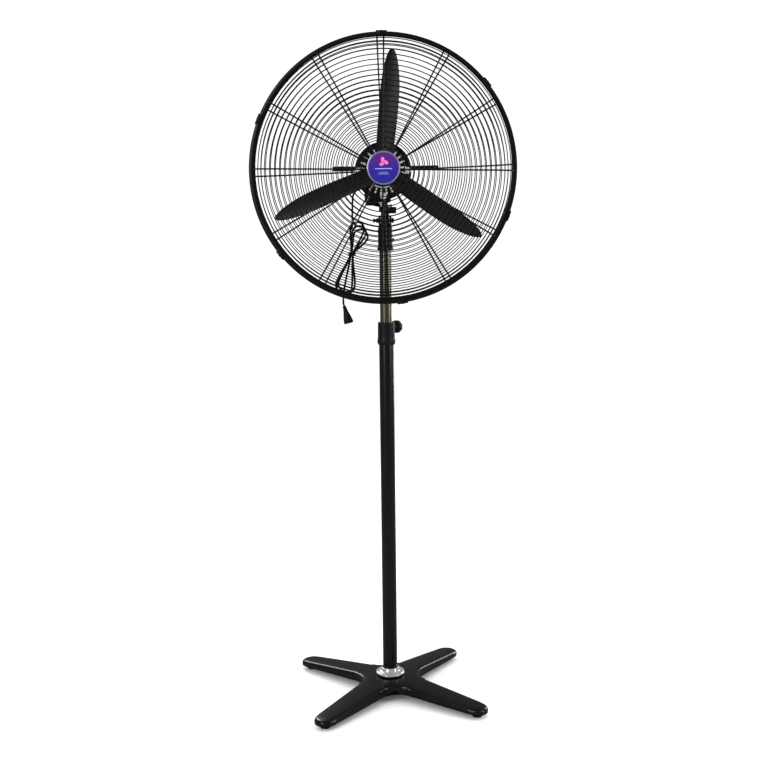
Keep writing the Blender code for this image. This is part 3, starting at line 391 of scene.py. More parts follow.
def finish_piece(name, bm, finish, body, nodes=(), sharp=38.0):
    """The bmesh as a piece that rides on a body, stands for its nodes and takes a record's finish."""
    bmesh.ops.remove_doubles(bm, verts=bm.verts, dist=0.000002)
    bmesh.ops.recalc_face_normals(bm, faces=bm.faces)
    return place_piece(name, bm, finish, body, nodes, sharp)


def place_mesh(name, bm, finish):
    """The bmesh as an object of the scene, at the origin."""
    mesh = bpy.data.meshes.new(name)
    bm.to_mesh(mesh)
    bm.free()
    mesh.materials.append(finish)
    obj = bpy.data.objects.new(name, mesh)
    bpy.context.scene.collection.objects.link(obj)
    return obj


def place_piece(name, bm, finish, body, nodes, sharp):
    obj = place_mesh(name, bm, finish_named(finish))
    obj.data.shade_smooth()
    obj.data.set_sharp_from_angle(angle=math.radians(sharp))
    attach(obj, body)
    if nodes:
        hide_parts(*nodes)
    return obj


def links_of(verts, kind):
    """The edges or the faces of some vertices, each once."""
    return list({link for vertex in verts for link in getattr(vertex, f"link_{kind}")})


def verts_in(geom):
    return [g for g in geom if isinstance(g, bmesh.types.BMVert)]


def verts_since(bm, known):
    return [v for v in bm.verts if v not in known]


def bevel_edges(bm, geom, offset, segments=2, clamp=False):
    return bmesh.ops.bevel(
        bm, geom=geom, offset=offset, offset_type="OFFSET", segments=segments, profile=0.5, affect="EDGES",
        clamp_overlap=clamp, material=-1,
    )


def spin_round(bm, geom, steps, angle=TURN):
    bmesh.ops.spin(
        bm, geom=geom, cent=(0, 0, 0), axis=(0, 0, 1), angle=angle, steps=steps, use_merge=angle == TURN,
    )


def turn_round(bm, verts, angle):
    """Turns vertices about the Z axis."""
    bmesh.ops.rotate(bm, verts=verts, cent=(0, 0, 0), matrix=Matrix.Rotation(angle, 3, "Z"))


def laid_along(start, way):
    """Puts the origin at the start, with Z along the way."""
    return Matrix.Translation(start) @ way.to_track_quat("Z", "Y").to_matrix().to_4x4()


def direction(angle):
    return Vector((math.cos(angle), math.sin(angle), 0.0))


def cut_flutes(verts, count, depth, beyond, low=-TURN, high=TURN, power=1):
    """Presses grip flutes into a turned knob, where it is wide enough and between two heights."""
    for vertex in verts:
        if vertex.co.xy.length > beyond and low < vertex.co.z < high:
            flute = max(0.0, math.cos(count * math.atan2(vertex.co.y, vertex.co.x))) ** power
            vertex.co.xy *= 1.0 - depth * flute


def soften(profile, size, closed=False, steps=3):
    """The profile with each corner rounded by about the size."""
    points = [Vector(p) for p in profile]
    count = len(points)
    rounded = []
    for i, here in enumerate(points):
        if not closed and i in (0, count - 1):
            rounded.append(here)
            continue
        before, after = points[i - 1], points[(i + 1) % count]
        back = min(size, (before - here).length * 0.45)
        on = min(size, (after - here).length * 0.45)
        start = here + (before - here).normalized() * back
        end = here + (after - here).normalized() * on
        for step in range(steps + 1):
            t = step / steps
            rounded.append(start * (1 - t) ** 2 + here * 2 * t * (1 - t) + end * t * t)
    return [(p.x, p.y) for p in rounded]


def add_turned(bm, profile, steps=72, place=None, round_by=0.0):
    """Spins a profile of (radius, height) points about Z. One that never reaches the axis is a ring."""
    ring = min(radius for radius, _ in profile) > 0
    if round_by:
        profile = soften(profile, round_by, ring)
    known = set(bm.verts)
    verts = [bm.verts.new((radius, 0.0, height)) for radius, height in profile]
    pairs = list(zip(verts, verts[1:]))
    if ring:
        pairs.append((verts[-1], verts[0]))
    spin_round(bm, verts + [bm.edges.new(pair) for pair in pairs], steps)
    made = verts_since(bm, known)
    if place is not None:
        bmesh.ops.transform(bm, matrix=place, verts=made)
    return made


def turned_piece(name, profile, finish, body, nodes=(), steps=72, place=None, round_by=0.0008):
    bm = bmesh.new()
    add_turned(bm, profile, steps, place, round_by)
    return finish_piece(name, bm, finish, body, nodes)


def add_box(bm, low, high, bevel=0.0, segments=2, place=None):
    low, high = Vector(low), Vector(high)
    made = bmesh.ops.create_cube(bm, size=1.0)["verts"]
    bmesh.ops.scale(bm, vec=high - low, verts=made)
    bmesh.ops.translate(bm, vec=(low + high) / 2, verts=made)
    if bevel:
        done = bevel_edges(bm, made + links_of(made, "edges"), bevel, segments)
        made = list({v for f in done["faces"] for v in f.verts})
    if place is not None:
        bmesh.ops.transform(bm, matrix=place, verts=made)
    return made


def add_rod(bm, start, end, radius, end_radius=None, sides=32, bevel=0.0):
    """A round bar or cone from one point to another, its end edges bevelled."""
    start, end = Vector(start), Vector(end)
    far_radius = radius if end_radius is None else end_radius
    made = bmesh.ops.create_cone(
        bm, cap_ends=True, segments=sides, radius1=radius, radius2=far_radius, depth=(end - start).length,
        matrix=laid_along((start + end) / 2, end - start),
    )["verts"]
    if bevel:
        caps = [f for f in links_of(made, "faces") if len(f.verts) > 4]
        bevel_edges(bm, list({e for f in caps for e in f.edges}), bevel)


def add_hex(bm, start, end, radius):
    add_rod(bm, start, end, radius, sides=6, bevel=radius * 0.1)


def add_ring(bm, radius, height, wire, steps, sides):
    """A ring of round wire about the Z axis."""
    lay = Matrix.Translation((radius, 0.0, height)) @ Matrix.Rotation(math.pi / 2, 4, "X")
    verts = bmesh.ops.create_circle(bm, segments=sides, radius=wire, matrix=lay)["verts"]
    spin_round(bm, verts + links_of(verts, "edges"), steps)


def add_sweep(bm, points, wire, sides=8):
    """A bent round wire through the points, with closed ends."""
    points = [Vector(p) for p in points]
    ways = [(b - a).normalized() for a, b in zip(points, points[1:])]
    tangents = [ways[0]] + [(a + b).normalized() for a, b in zip(ways, ways[1:])] + [ways[-1]]
    known = set(bm.verts)
    lay = laid_along(points[0], tangents[0])
    verts = bmesh.ops.create_circle(bm, segments=sides, radius=wire, matrix=lay)["verts"]
    first = edges = links_of(verts, "edges")
    for here, there, along, onward in zip(points, points[1:], tangents, tangents[1:]):
        made = bmesh.ops.extrude_edge_only(bm, edges=edges)["geom"]
        verts = verts_in(made)
        edges = [g for g in made if isinstance(g, bmesh.types.BMEdge) and all(v in verts for v in g.verts)]
        spin = along.rotation_difference(onward).to_matrix()
        bmesh.ops.rotate(bm, verts=verts, cent=here, matrix=spin)
        bmesh.ops.translate(bm, verts=verts, vec=there - here)
    bmesh.ops.contextual_create(bm, geom=first)
    bmesh.ops.contextual_create(bm, geom=edges)
    return verts_since(bm, known)


def add_copies_round(bm, verts, count, place=None):
    """Copies of some geometry, turned evenly about the Z axis before any place is applied."""
    geom = list(verts) + links_of(verts, "edges") + links_of(verts, "faces")
    every = list(verts)
    for number in range(1, count):
        copied = verts_in(bmesh.ops.duplicate(bm, geom=geom)["geom"])
        turn_round(bm, copied, number * TURN / count)
        every += copied
    if place is not None:
        bmesh.ops.transform(bm, matrix=place, verts=every)


def refined_copy(node, finish, body, bevel, extra=None):
    """The node's own shape with its edges rounded, and more detail where extra adds it."""
    bm = bmesh.new()
    bm.from_mesh(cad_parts[node].data)
    bmesh.ops.remove_doubles(bm, verts=bm.verts, dist=0.00001)
    bmesh.ops.dissolve_limit(
        bm, angle_limit=math.radians(1.0), verts=bm.verts, edges=bm.edges, use_dissolve_boundaries=False,
    )
    edges = [e for e in bm.edges if len(e.link_faces) == 2 and e.calc_face_angle(0.0) > math.radians(40)]
    bevel_edges(bm, edges, bevel, clamp=True)
    if extra is not None:
        extra(bm)
    return finish_piece(f"{node}_cast", bm, finish, body, (node,), 30.0)


def dress_node(node, finish):
    """A node whose shape is right keeps its mesh and gets its finish."""
    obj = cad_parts[node]
    obj.data.materials.clear()
    obj.data.materials.append(finish_named(finish))


def smooth_route(points, spacing):
    """Points a set distance apart on a smooth curve through the route's own points."""
    ends = [2 * points[0] - points[1], *points, 2 * points[-1] - points[-2]]
    dense = []
    for a, b, c, d in zip(ends, ends[1:], ends[2:], ends[3:]):
        for step in range(20):
            t = step / 20
            bend = (2 * a - 5 * b + 4 * c - d) * t**2 + (3 * b - a - 3 * c + d) * t**3
            dense.append(0.5 * (2 * b + (c - a) * t + bend))
    dense.append(points[-1])
    kept, since = [dense[0]], 0.0
    for before, here in zip(dense, dense[1:]):
        since += (here - before).length
        if since >= spacing:
            kept.append(here)
            since = 0.0
    if (kept[-1] - dense[-1]).length < spacing / 2:
        kept.pop()
    return kept + [dense[-1]]


# ---------------------------------------------------------------- stage


class FAN_OT_stage(bpy.types.Operator):
    """Make the floor, the soft studio light and the camera"""

    bl_idname = "fan.stage"
    bl_label = "Stage"

    def execute(self, context):
        settings = context.scene.fan_stage
        bm = bmesh.new()
        bmesh.ops.create_grid(bm, x_segments=2, y_segments=2, size=30.0)
        bmesh.ops.translate(bm, verts=bm.verts, vec=(0.0, 0.0, -0.0005))
        floor = place_mesh("floor", bm, self.pale_floor(settings.floor_colour))
        self.make_world(context)
        self.make_lights(context)
        self.make_camera(context, settings)
        context.scene.view_settings.view_transform = "Standard"
        return {"FINISHED"}

    def pale_floor(self, colour):
        """Pale to look at, and dim in reflections, which lets black paint stay black over it."""
        made = bpy.data.materials.new("pale_floor")
        made.use_nodes = True
        tree = made.node_tree
        shader = fill_inputs(tree.nodes["Principled BSDF"], {
            "Base Color": (*colour, 1.0), "Roughness": 0.95, "Specular IOR Level": 0.0,
        })
        dim = add_node(tree, "ShaderNodeBsdfDiffuse", {"Color": (0.16, 0.16, 0.17, 1.0)})
        ray = tree.nodes.new("ShaderNodeLightPath")
        mix = add_node(tree, "ShaderNodeMixShader", {
            "Fac": ray.outputs["Is Glossy Ray"], 1: shader.outputs["BSDF"], 2: dim.outputs["BSDF"],
        })
        fill_inputs(tree.nodes["Material Output"], {"Surface": mix.outputs["Shader"]})
        return made

    def make_world(self, context):
        """White to look at and as a fill, and dimmer where a glossy surface mirrors it."""
        world = bpy.data.worlds.new("studio")
        context.scene.world = world
        world.use_nodes = True
        tree = world.node_tree
        ray = tree.nodes.new("ShaderNodeLightPath")
        level = add_node(tree, "ShaderNodeMapRange", {
            "Value": ray.outputs["Is Glossy Ray"], "To Min": 1.12, "To Max": 0.14,
        })
        fill_inputs(tree.nodes["Background"], {
            "Color": (1.0, 1.0, 1.0, 1.0), "Strength": level.outputs["Result"],
        })

    def make_lights(self, context):
        for name, place, size, tall, power in (
            ("key_softbox", (-2.6, -3.4, 2.6), 1.0, 2.4, 60.0),
            ("side_softbox", (3.2, -1.2, 2.2), 0.8, 2.4, 34.0),
            ("back_softbox", (-1.8, 3.0, 2.8), 1.2, 2.0, 60.0),
            ("far_side_softbox", (2.6, 2.6, 1.6), 0.8, 2.2, 40.0),
        ):
            lamp = bpy.data.lights.new(name, "AREA")
            lamp.shape = "RECTANGLE"
            lamp.size, lamp.size_y = size, tall
            lamp.energy = power
            obj = bpy.data.objects.new(name, lamp)
            context.scene.collection.objects.link(obj)
            obj.location = place
            aim = Vector((0.0, 0.0, 1.0)) - Vector(place)
            obj.rotation_euler = aim.to_track_quat("-Z", "Y").to_euler()

    def make_camera(self, context, settings):
        data = bpy.data.cameras.new("camera")
        data.lens = settings.lens
        data.sensor_width = 36.0
        data.clip_end = 200.0
        camera = bpy.data.objects.new("camera", data)
        context.scene.collection.objects.link(camera)
        place = Matrix.Translation((0.0, -settings.camera_distance, settings.camera_height))
        aside = Matrix.Rotation(0.0038, 4, "Z")
        down = Matrix.Rotation(math.pi / 2 - settings.camera_pitch, 4, "X")
        roll = Matrix.Rotation(-0.0123, 4, "Z")
        camera.matrix_world = place @ aside @ down @ roll
        context.scene.camera = camera


# ---------------------------------------------------------------- mains lead


def loop_points(near, far, way, length, half, depth, side):
    """One loop of the hank: out from the near waist point on one side, round, and back on the other."""
    across = Vector((-way.y, way.x))
    if across.x < 0:
        across = -across
    middle = (near + far) / 2
    out = ((0.24, 0.3), (0.47, 0.72), (0.68, 1.00))
    top = length - half * 0.98

    def beside(t, w, sign):
        return middle + way * top * t / 0.68 + across * sign * (half * w + WAIST_HALF * (1 - w))

    flat = [beside(t, w, side) for t, w in out]
    for degrees in (30, 60, 90, 120, 150):
        angle = math.radians(degrees)
        flat.append(middle + way * (top + half * math.sin(angle)) + across * side * half * math.cos(angle))
    flat += [beside(t, w, -side) for t, w in reversed(out)]
    rise = CORD_LAYER / 2 / (len(flat) + 1)
    return [Vector((p.x, depth + rise * (k + 1), p.y)) for k, p in enumerate(flat)]


def lead_route():
    """The whole lead from its gland to its plug, with three turns gathered at a waist."""
    front = CORD_PLANE - 1.5 * CORD_LAYER
    points = [
        GLAND_START + (GLAND_LENGTH + 0.0003) * GLAND_WAY,
        GLAND_START + (GLAND_LENGTH + 0.012) * GLAND_WAY,
        Vector((-0.0948, CORD_PLANE - 0.002, 1.49)),
        Vector((-0.0955, CORD_PLANE - 0.006, 1.463)),
        Vector((-0.0962, front, 1.432)),
        Vector((-0.098, front, 1.4)),
        Vector((-0.1005, front, 1.37)),
    ]
    left, right = HANK_WAIST - Vector((WAIST_HALF, 0.0)), HANK_WAIST + Vector((WAIST_HALF, 0.0))
    depth = front
    for low, high in zip(LOW_LOOPS, HIGH_LOOPS):
        for loop, near, far, side, sense in ((low, left, right, -1, -1), (high, right, left, 1, 1)):
            length, half, lean = loop
            points.append(Vector((near.x, depth, near.y)))
            points += loop_points(near, far, Vector((lean, sense)).normalized(), length, half, depth, side)
            depth += CORD_LAYER / 2
    points.append(Vector((left.x, depth, left.y)))
    tail = ((-0.1085, 1.31), (-0.1165, 1.275), (-0.1235, 1.24), (-0.1262, 1.215))
    points += [Vector((x, TAIL_PLANE, z)) for x, z in tail]
    points += [PLUG_TOP - 0.008 * PLUG_WAY, PLUG_TOP - 0.0003 * PLUG_WAY]
    return smooth_route(points, 0.004)


class FAN_OT_mains_lead(bpy.types.Operator):
    """Make the mains lead, its tie, its gland and its plug"""

    bl_idname = "fan.mains_lead"
    bl_label = "Mains lead"

    def execute(self, context):
        radius = context.scene.fan_cord.diameter / 2
        route = lead_route()
        curve = bpy.data.curves.new("mains_lead", "CURVE")
        curve.dimensions = "3D"
        curve.bevel_depth = radius
        curve.bevel_resolution = 3
        curve.use_fill_caps = True
        spline = curve.splines.new("POLY")
        spline.points.add(len(route) - 1)
        for place, point in zip(spline.points, route):
            place.co = (*point, 1.0)
        spline.use_smooth = True
        curve.materials.append(finish_named("cord_rubber"))
        lead = bpy.data.objects.new("mains_lead", curve)
        context.scene.collection.objects.link(lead)
        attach(lead, "head")
        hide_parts("cord_lead", "cord_hank", "cord_tail")
        plug, pins = self.make_plug()
        tie = self.make_tie()
        gland = self.make_gland()
        return {"FINISHED"}

    def make_tie(self):
        """The strap wound three times round the waist of the hank."""
        bm = bmesh.new()
        centre = Vector((HANK_WAIST.x, CORD_PLANE, HANK_WAIST.y))
        for shift in (-0.0042, 0.0, 0.0042):
            loop = []
            for step in range(25):
                angle = TURN * step / 24
                across, along = math.cos(angle), math.sin(angle)
                loop.append(centre + Vector((0.0096 * across, 0.016 * along, shift + 0.0006 * across)))
            add_sweep(bm, loop, 0.0021, sides=10)
        return finish_piece("lead_tie", bm, BLACK_PLASTIC, "head", ())

    def make_gland(self):
        """A tapered relief with ribs, where the lead leaves the switch box."""
        profile = [(0.0, -0.002), (0.0054, -0.002), (0.0054, 0.002)]
        for rib in range(5):
            start = 0.0035 + rib * 0.0038
            width = 0.0052 - 0.00022 * rib
            valley = width - 0.001
            profile += [(valley, start), (width, start + 0.0008)]
            profile += [(width, start + 0.0024), (valley, start + 0.0032)]
        profile += [(0.0042, GLAND_LENGTH), (0.0, GLAND_LENGTH)]
        return turned_piece(
            "lead_gland", profile, "cord_rubber", "head", ("cord_gland",), 40,
            laid_along(GLAND_START, GLAND_WAY), 0.0003,
        )

    def make_plug(self):
        """A moulded side-entry plug: ribbed neck, flared flat body, and two pins that point backwards."""
        profile = [(0.0, 0.0), (0.0043, 0.0)]
        for rib in range(4):
            start = 0.003 + rib * 0.0042
            width = 0.0047 + rib * 0.0007
            crest = width + 0.0007
            profile += [(width, start), (crest, start + 0.0009)]
            profile += [(crest, start + 0.0025), (width, start + 0.0034)]
        profile += [
            (0.0084, 0.022), (0.0112, 0.033), (0.0138, 0.045), (0.0143, 0.052), (0.0135, 0.054), (0.0, 0.054),
        ]
        across = Vector((-PLUG_WAY.z, 0.0, PLUG_WAY.x))
        bm = bmesh.new()
        for vertex in add_turned(bm, profile, 48, laid_along(PLUG_TOP, PLUG_WAY), 0.0005):
            vertex.co.y = TAIL_PLANE + (vertex.co.y - TAIL_PLANE) * PLUG_FLATNESS
        for number in range(3):
            centre = PLUG_TOP + (0.0345 + 0.005 * number) * PLUG_WAY
            centre.y -= 0.0078 + 0.0009 * number
            half = (0.0062 + 0.000744 * number) * across
            add_rod(bm, centre - half, centre + half, 0.0011, sides=12, bevel=0.0003)
        body = finish_piece("plug_body", bm, "cord_rubber", "head", ("plug",))
        bm = bmesh.new()
        for side in (-1, 1):
            start = PLUG_TOP + 0.042 * PLUG_WAY + side * 0.006 * across + Vector((0.0, 0.006, 0.0))
            add_rod(bm, start, start + Vector((0.0, 0.022, 0.0)), 0.0023, sides=24, bevel=0.0008)
        pins = finish_piece("plug_pins", bm, "yellow_brass", "head", ())
        return body, pins


# ---------------------------------------------------------------- stand


def leg_half_width(reach):
    """Half the leg's width, with the fillet into the next leg near the middle."""
    straight = LEG_ROOT_HALF + (LEG_TIP_HALF - LEG_ROOT_HALF) * reach / LEG_REACH
    into = NOTCH_FILLET + LEG_ROOT_HALF - reach
    if into <= 0:
        return straight
    return straight + NOTCH_FILLET - math.sqrt(max(NOTCH_FILLET**2 - into**2, 0.0))


def edge_distance(reach, side):
    """How far inside the cross's outline a point of the leg along +X lies."""
    corner = LEG_ROOT_HALF + NOTCH_FILLET
    if reach < corner:
        return math.hypot(corner - reach, corner - side) - NOTCH_FILLET
    round_start = LEG_REACH - LEG_TIP_HALF
    if reach < round_start:
        return leg_half_width(reach) - side
    return LEG_TIP_HALF - math.hypot(reach - round_start, side)


def cross_top(x, y):
    """Height of the casting's top: sloping down each leg, crowned across it and rounded at its edge."""
    reach, side = max(abs(x), abs(y)), min(abs(x), abs(y))
    inside = max(edge_distance(reach, side), 0.0)
    along = min(math.hypot(x, y) / LEG_REACH, 1.0)
    height = CENTRE_TOP + (TIP_TOP - CENTRE_TOP) * along + 0.0006
    edge = 1 - min(inside / EDGE_ROUNDING, 1.0)
    crown = 1 - min(inside / LEG_TIP_HALF, 1.0)
    return height - EDGE_DROP * (1 - math.sqrt(max(1 - edge**2, 0.0))) - 0.0025 * crown**2


class FAN_OT_base(bpy.types.Operator):
    """Make the cross-shaped base casting, its feet and its bright flange"""

    bl_idname = "fan.base"
    bl_label = "Base"

    def execute(self, context):
        self.make_cross()
        self.make_bosses()
        self.make_feet()
        # The flange's chrome is partly painted reflection, through its pale diffuse part.
        turned_piece(
            "bright_flange",
            [(0.0232, 0.08), (0.0262, 0.0796), (0.029, 0.0715), (0.033, 0.0692), (0.04, 0.0676),
             (0.0436, 0.0652), (0.0438, 0.0632), (0.0432, 0.0606), (0.0223, 0.0606)],
            "bright_chrome", "stand", ("base_flange",), 96, None, 0.001,
        )
        dress_node("pole_nut", "turned_steel")
        return {"FINISHED"}

    def make_cross(self):
        """Four tapered legs and the middle between them, each a grid drawn onto the outline."""
        corner = LEG_ROOT_HALF + NOTCH_FILLET * (1 - math.sqrt(0.5))
        straight = LEG_REACH - LEG_TIP_HALF
        steps = STRAIGHT_STEPS + ROUND_STEPS
        lanes = [math.sin(math.pi / 2 * (2 * k / LANES - 1)) for k in range(LANES + 1)]
        bm = bmesh.new()
        for angle in LEG_ANGLES:
            made = bmesh.ops.create_grid(bm, x_segments=steps, y_segments=LANES, size=1.0)["verts"]
            for vertex in made:
                lane = lanes[round((vertex.co.y + 1) * LANES / 2)]
                step = round((vertex.co.x + 1) * steps / 2)
                if step <= STRAIGHT_STEPS:
                    reach = corner + (straight - corner) * (step / STRAIGHT_STEPS)
                    half = leg_half_width(reach)
                else:
                    bend = math.pi / 2 * (step - STRAIGHT_STEPS) / ROUND_STEPS
                    reach = straight + LEG_TIP_HALF * math.sin(bend)
                    half = LEG_TIP_HALF * math.cos(bend)
                vertex.co = (reach, half * lane, cross_top(reach, half * lane))
            turn_round(bm, made, angle)
        made = bmesh.ops.create_grid(bm, x_segments=LANES, y_segments=LANES, size=1.0)["verts"]
        for vertex in made:
            x, y = (corner * lanes[round((c + 1) * LANES / 2)] for c in vertex.co.xy)
            vertex.co = (x, y, cross_top(x, y))
        turn_round(bm, made, LEG_ANGLE)
        bmesh.ops.remove_doubles(bm, verts=bm.verts, dist=0.00005)
        skirt = bmesh.ops.extrude_edge_only(bm, edges=[e for e in bm.edges if len(e.link_faces) == 1])["geom"]
        for vertex in verts_in(skirt):
            along = min(vertex.co.xy.length / LEG_REACH, 1.0)
            vertex.co.z = CENTRE_UNDER + (TIP_UNDER - CENTRE_UNDER) * along
        bmesh.ops.recalc_face_normals(bm, faces=bm.faces)
        if sum(f.normal.z * f.calc_area() for f in bm.faces) < 0:
            bmesh.ops.reverse_faces(bm, faces=bm.faces)
        cross = place_piece(
            "cast_base", bm, "gloss_black_paint", "stand", ("base_cross",), 60.0,
        )
        wall = cross.modifiers.new("wall", "SOLIDIFY")
        wall.thickness = CAST_WALL
        wall.offset = -1.0

    def make_bosses(self):
        """Under the casting: a sleeve round the pole's foot, and a foot post and two ribs on each leg."""
        bm = bmesh.new()
        sleeve = [(0.034, 0.0598), (0.034, 0.0245), (0.0223, 0.0245), (0.0223, 0.0598)]
        add_turned(bm, sleeve, 64, None, 0.001)
        for angle in LEG_ANGLES:
            foot = direction(angle) * FOOT_REACH
            add_rod(bm, (foot.x, foot.y, 0.012), (foot.x, foot.y, 0.0265), 0.0108, bevel=0.0008)
            lay = Matrix.Rotation(angle, 4, "Z")
            for y in (-0.012, 0.012):
                add_box(bm, (0.034, y - 0.002, 0.03), (0.3, y + 0.002, 0.0335), 0.0008, 1, lay)
        finish_piece("base_bosses", bm, "cast_black_paint", "stand", ())

    def make_feet(self):
        profile = [
            (0.0, 0.0117), (0.0122, 0.0117), (0.0143, 0.0088), (0.0143, 0.0064), (0.0136, 0.0058),
            (0.0143, 0.0052), (0.0143, 0.0016), (0.0124, 0.0), (0.0055, 0.0), (0.005, 0.003), (0.0, 0.003),
        ]
        for number, angle in enumerate(LEG_ANGLES, 1):
            turned_piece(
                f"rubber_foot_{number}", profile, "foot_rubber", "stand", (f"foot_{number}",),
                40, Matrix.Translation(direction(angle) * FOOT_REACH), 0.0006,
            )


class FAN_OT_pole(bpy.types.Operator):
    """Make the outer pole, the clamp collar, its knob and the sliding tube"""

    bl_idname = "fan.pole"
    bl_label = "Pole"

    def execute(self, context):
        pole = self.tube_profile(POLE_RADIUS, POLE_WALL, POLE_SPAN)
        turned_piece(
            "painted_pole", pole, "gloss_black_paint", "stand", ("outer_pole",), 96, None,
            0.0004,
        )
        self.make_collar()
        self.make_knob()
        dress_node("collar_bush", "pale_nylon")
        dress_node("height_screw", "blackened_steel")
        tube = self.tube_profile(TUBE_RADIUS, TUBE_WALL, TUBE_SPAN)
        turned_piece(
            "plated_tube", tube, "tube_plating", "mast", ("inner_tube",), 96, None, 0.0004,
        )
        return {"FINISHED"}

    def tube_profile(self, outer, wall, span):
        low, high = span
        return [(outer, high), (outer, low), (outer - wall, low), (outer - wall, high)]

    def make_collar(self):
        low, high = COLLAR_LOW.z, COLLAR_HIGH.z
        profile = [
            (0.0238, high), (0.0246, high - 0.002), (0.0252, low + 0.022), (0.0268, low + 0.012),
            (0.0268, low + 0.006), (0.024, low), (0.0222, low), (0.0222, high - 0.004), (0.018, high - 0.004),
            (0.018, high),
        ]
        bm = bmesh.new()
        add_turned(bm, profile, 96, None, 0.0008)
        way, height = direction(KNOB_ANGLE), Vector((0.0, 0.0, KNOB_HEIGHT))
        start, end = way * 0.0235 + height, way * 0.0335 + height
        add_rod(bm, start, end, 0.0104, end_radius=0.0096, sides=40, bevel=0.001)
        finish_piece("clamp_sleeve", bm, BLACK_PLASTIC, "stand", ("clamp_collar",))

    def make_knob(self):
        """A round grip knob with finger flutes and a raised centre."""
        profile = [
            (0.0, 0.064), (0.007, 0.064), (0.008, 0.0628), (0.015, 0.0632), (0.019, 0.061), (0.0194, 0.056),
            (0.019, 0.049), (0.0172, 0.0455), (0.011, 0.044), (0.0095, 0.04), (0.0095, 0.0362), (0.0, 0.0362),
        ]
        bm = bmesh.new()
        made = add_turned(bm, profile, 96, None, 0.001)
        cut_flutes(made, 8, 0.085, 0.0125, high=0.0632, power=2)
        lay = laid_along((0.0, 0.0, KNOB_HEIGHT), direction(KNOB_ANGLE))
        bmesh.ops.transform(bm, matrix=lay, verts=made)
        finish_piece("clamp_grip", bm, BLACK_PLASTIC, "clamp_knob", ("height_knob",))


# ---------------------------------------------------------------- neck


class FAN_OT_neck(bpy.types.Operator):
    """Make the neck socket, its screws and bolt, and the bracket that tilts on it"""

    bl_idname = "fan.neck"
    bl_label = "Neck"

    tilt_height: bpy.props.FloatProperty(
        name="Tilt height", description="Height of the tilt bolt", default=1.441, subtype="DISTANCE",
        unit="LENGTH",
    )

    def execute(self, context):
        low, top, tilt = SOCKET_LOW.z, SOCKET_TOP, self.tilt_height
        bm = bmesh.new()
        profile = [
            (0.0, top), (0.0198, top), (0.0212, top - 0.002), (0.0212, top - 0.022), (0.0204, top - 0.0232),
            (0.0204, top - 0.0262), (0.0212, top - 0.0274), (0.0212, low + 0.012), (0.0236, low + 0.0085),
            (0.0236, low), (0.018, low), (0.018, top - 0.0115), (0.0, top - 0.0115),
        ]
        add_turned(bm, profile, 96, None, 0.0007)
        for side in (-1, 1):
            inner, outer = sorted((side * 0.0125, side * 0.0185))
            add_box(bm, (inner, -0.0148, top - 0.003), (outer, 0.0148, tilt), 0.0012)
            add_rod(bm, (inner, 0, tilt), (outer, 0, tilt), 0.015, sides=64, bevel=0.001)
        self.add_saddle(bm, top, tilt)
        finish_piece("socket_casting", bm, "cast_black_paint", "mast", ("neck_socket",), 32.0)
        bm = bmesh.new()
        add_rod(bm, (0.02, 0, SET_SCREW_HEIGHT), (0.0226, 0, SET_SCREW_HEIGHT), 0.0026, sides=20)
        add_hex(bm, (0.0222, 0, SET_SCREW_HEIGHT), (0.0262, 0, SET_SCREW_HEIGHT), 0.0048)
        finish_piece("socket_set_screw", bm, "satin_black_coating", "mast", ("socket_screw",))
        bm = bmesh.new()
        add_rod(bm, (-0.03, 0, tilt), (0.0268, 0, tilt), 0.0039, bevel=0.0008)
        add_rod(bm, (-0.0205, 0, tilt), (-0.0188, 0, tilt), 0.0085, sides=48, bevel=0.0004)
        add_hex(bm, (-0.0262, 0, tilt), (-0.0204, 0, tilt), 0.007)
        add_hex(bm, (-0.0345, 0, tilt), (-0.029, 0, tilt), 0.006)
        finish_piece("tilt_bolt_steel", bm, "satin_black_coating", "mast", ("tilt_bolt",))
        bm = bmesh.new()
        add_hex(bm, (0.0188, 0, tilt), (0.0248, 0, tilt), 0.0077)
        finish_piece("tilt_nut_steel", bm, "satin_black_coating", "mast", ("tilt_nut",))
        refined_copy("swivel_bracket", "cast_black_paint", "tilt_bracket", 0.001)
        dress_node("swivel_spindle", "blackened_steel")
        dress_node("link_bar", "blackened_steel")
        return {"FINISHED"}

    def add_saddle(self, bm, top, tilt):
        """A cradle between the ears, hollowed round the bracket's eye."""
        hollow = 0.0146
        arc = [math.radians(degrees) for degrees in range(215, 330, 5)]
        line = [(hollow * math.cos(angle), tilt + hollow * math.sin(angle)) for angle in arc]
        foot = top - 0.003
        outline = [(-hollow, foot), (-hollow, line[0][1]), *line, (hollow, line[-1][1]), (hollow, foot)]
        face = bm.faces.new([bm.verts.new((-0.0127, y, z)) for y, z in outline])
        made = verts_in(bmesh.ops.extrude_face_region(bm, geom=[face])["geom"])
        bmesh.ops.translate(bm, verts=made, vec=(0.0254, 0.0, 0.0))


# ---------------------------------------------------------------- gearbox and controls


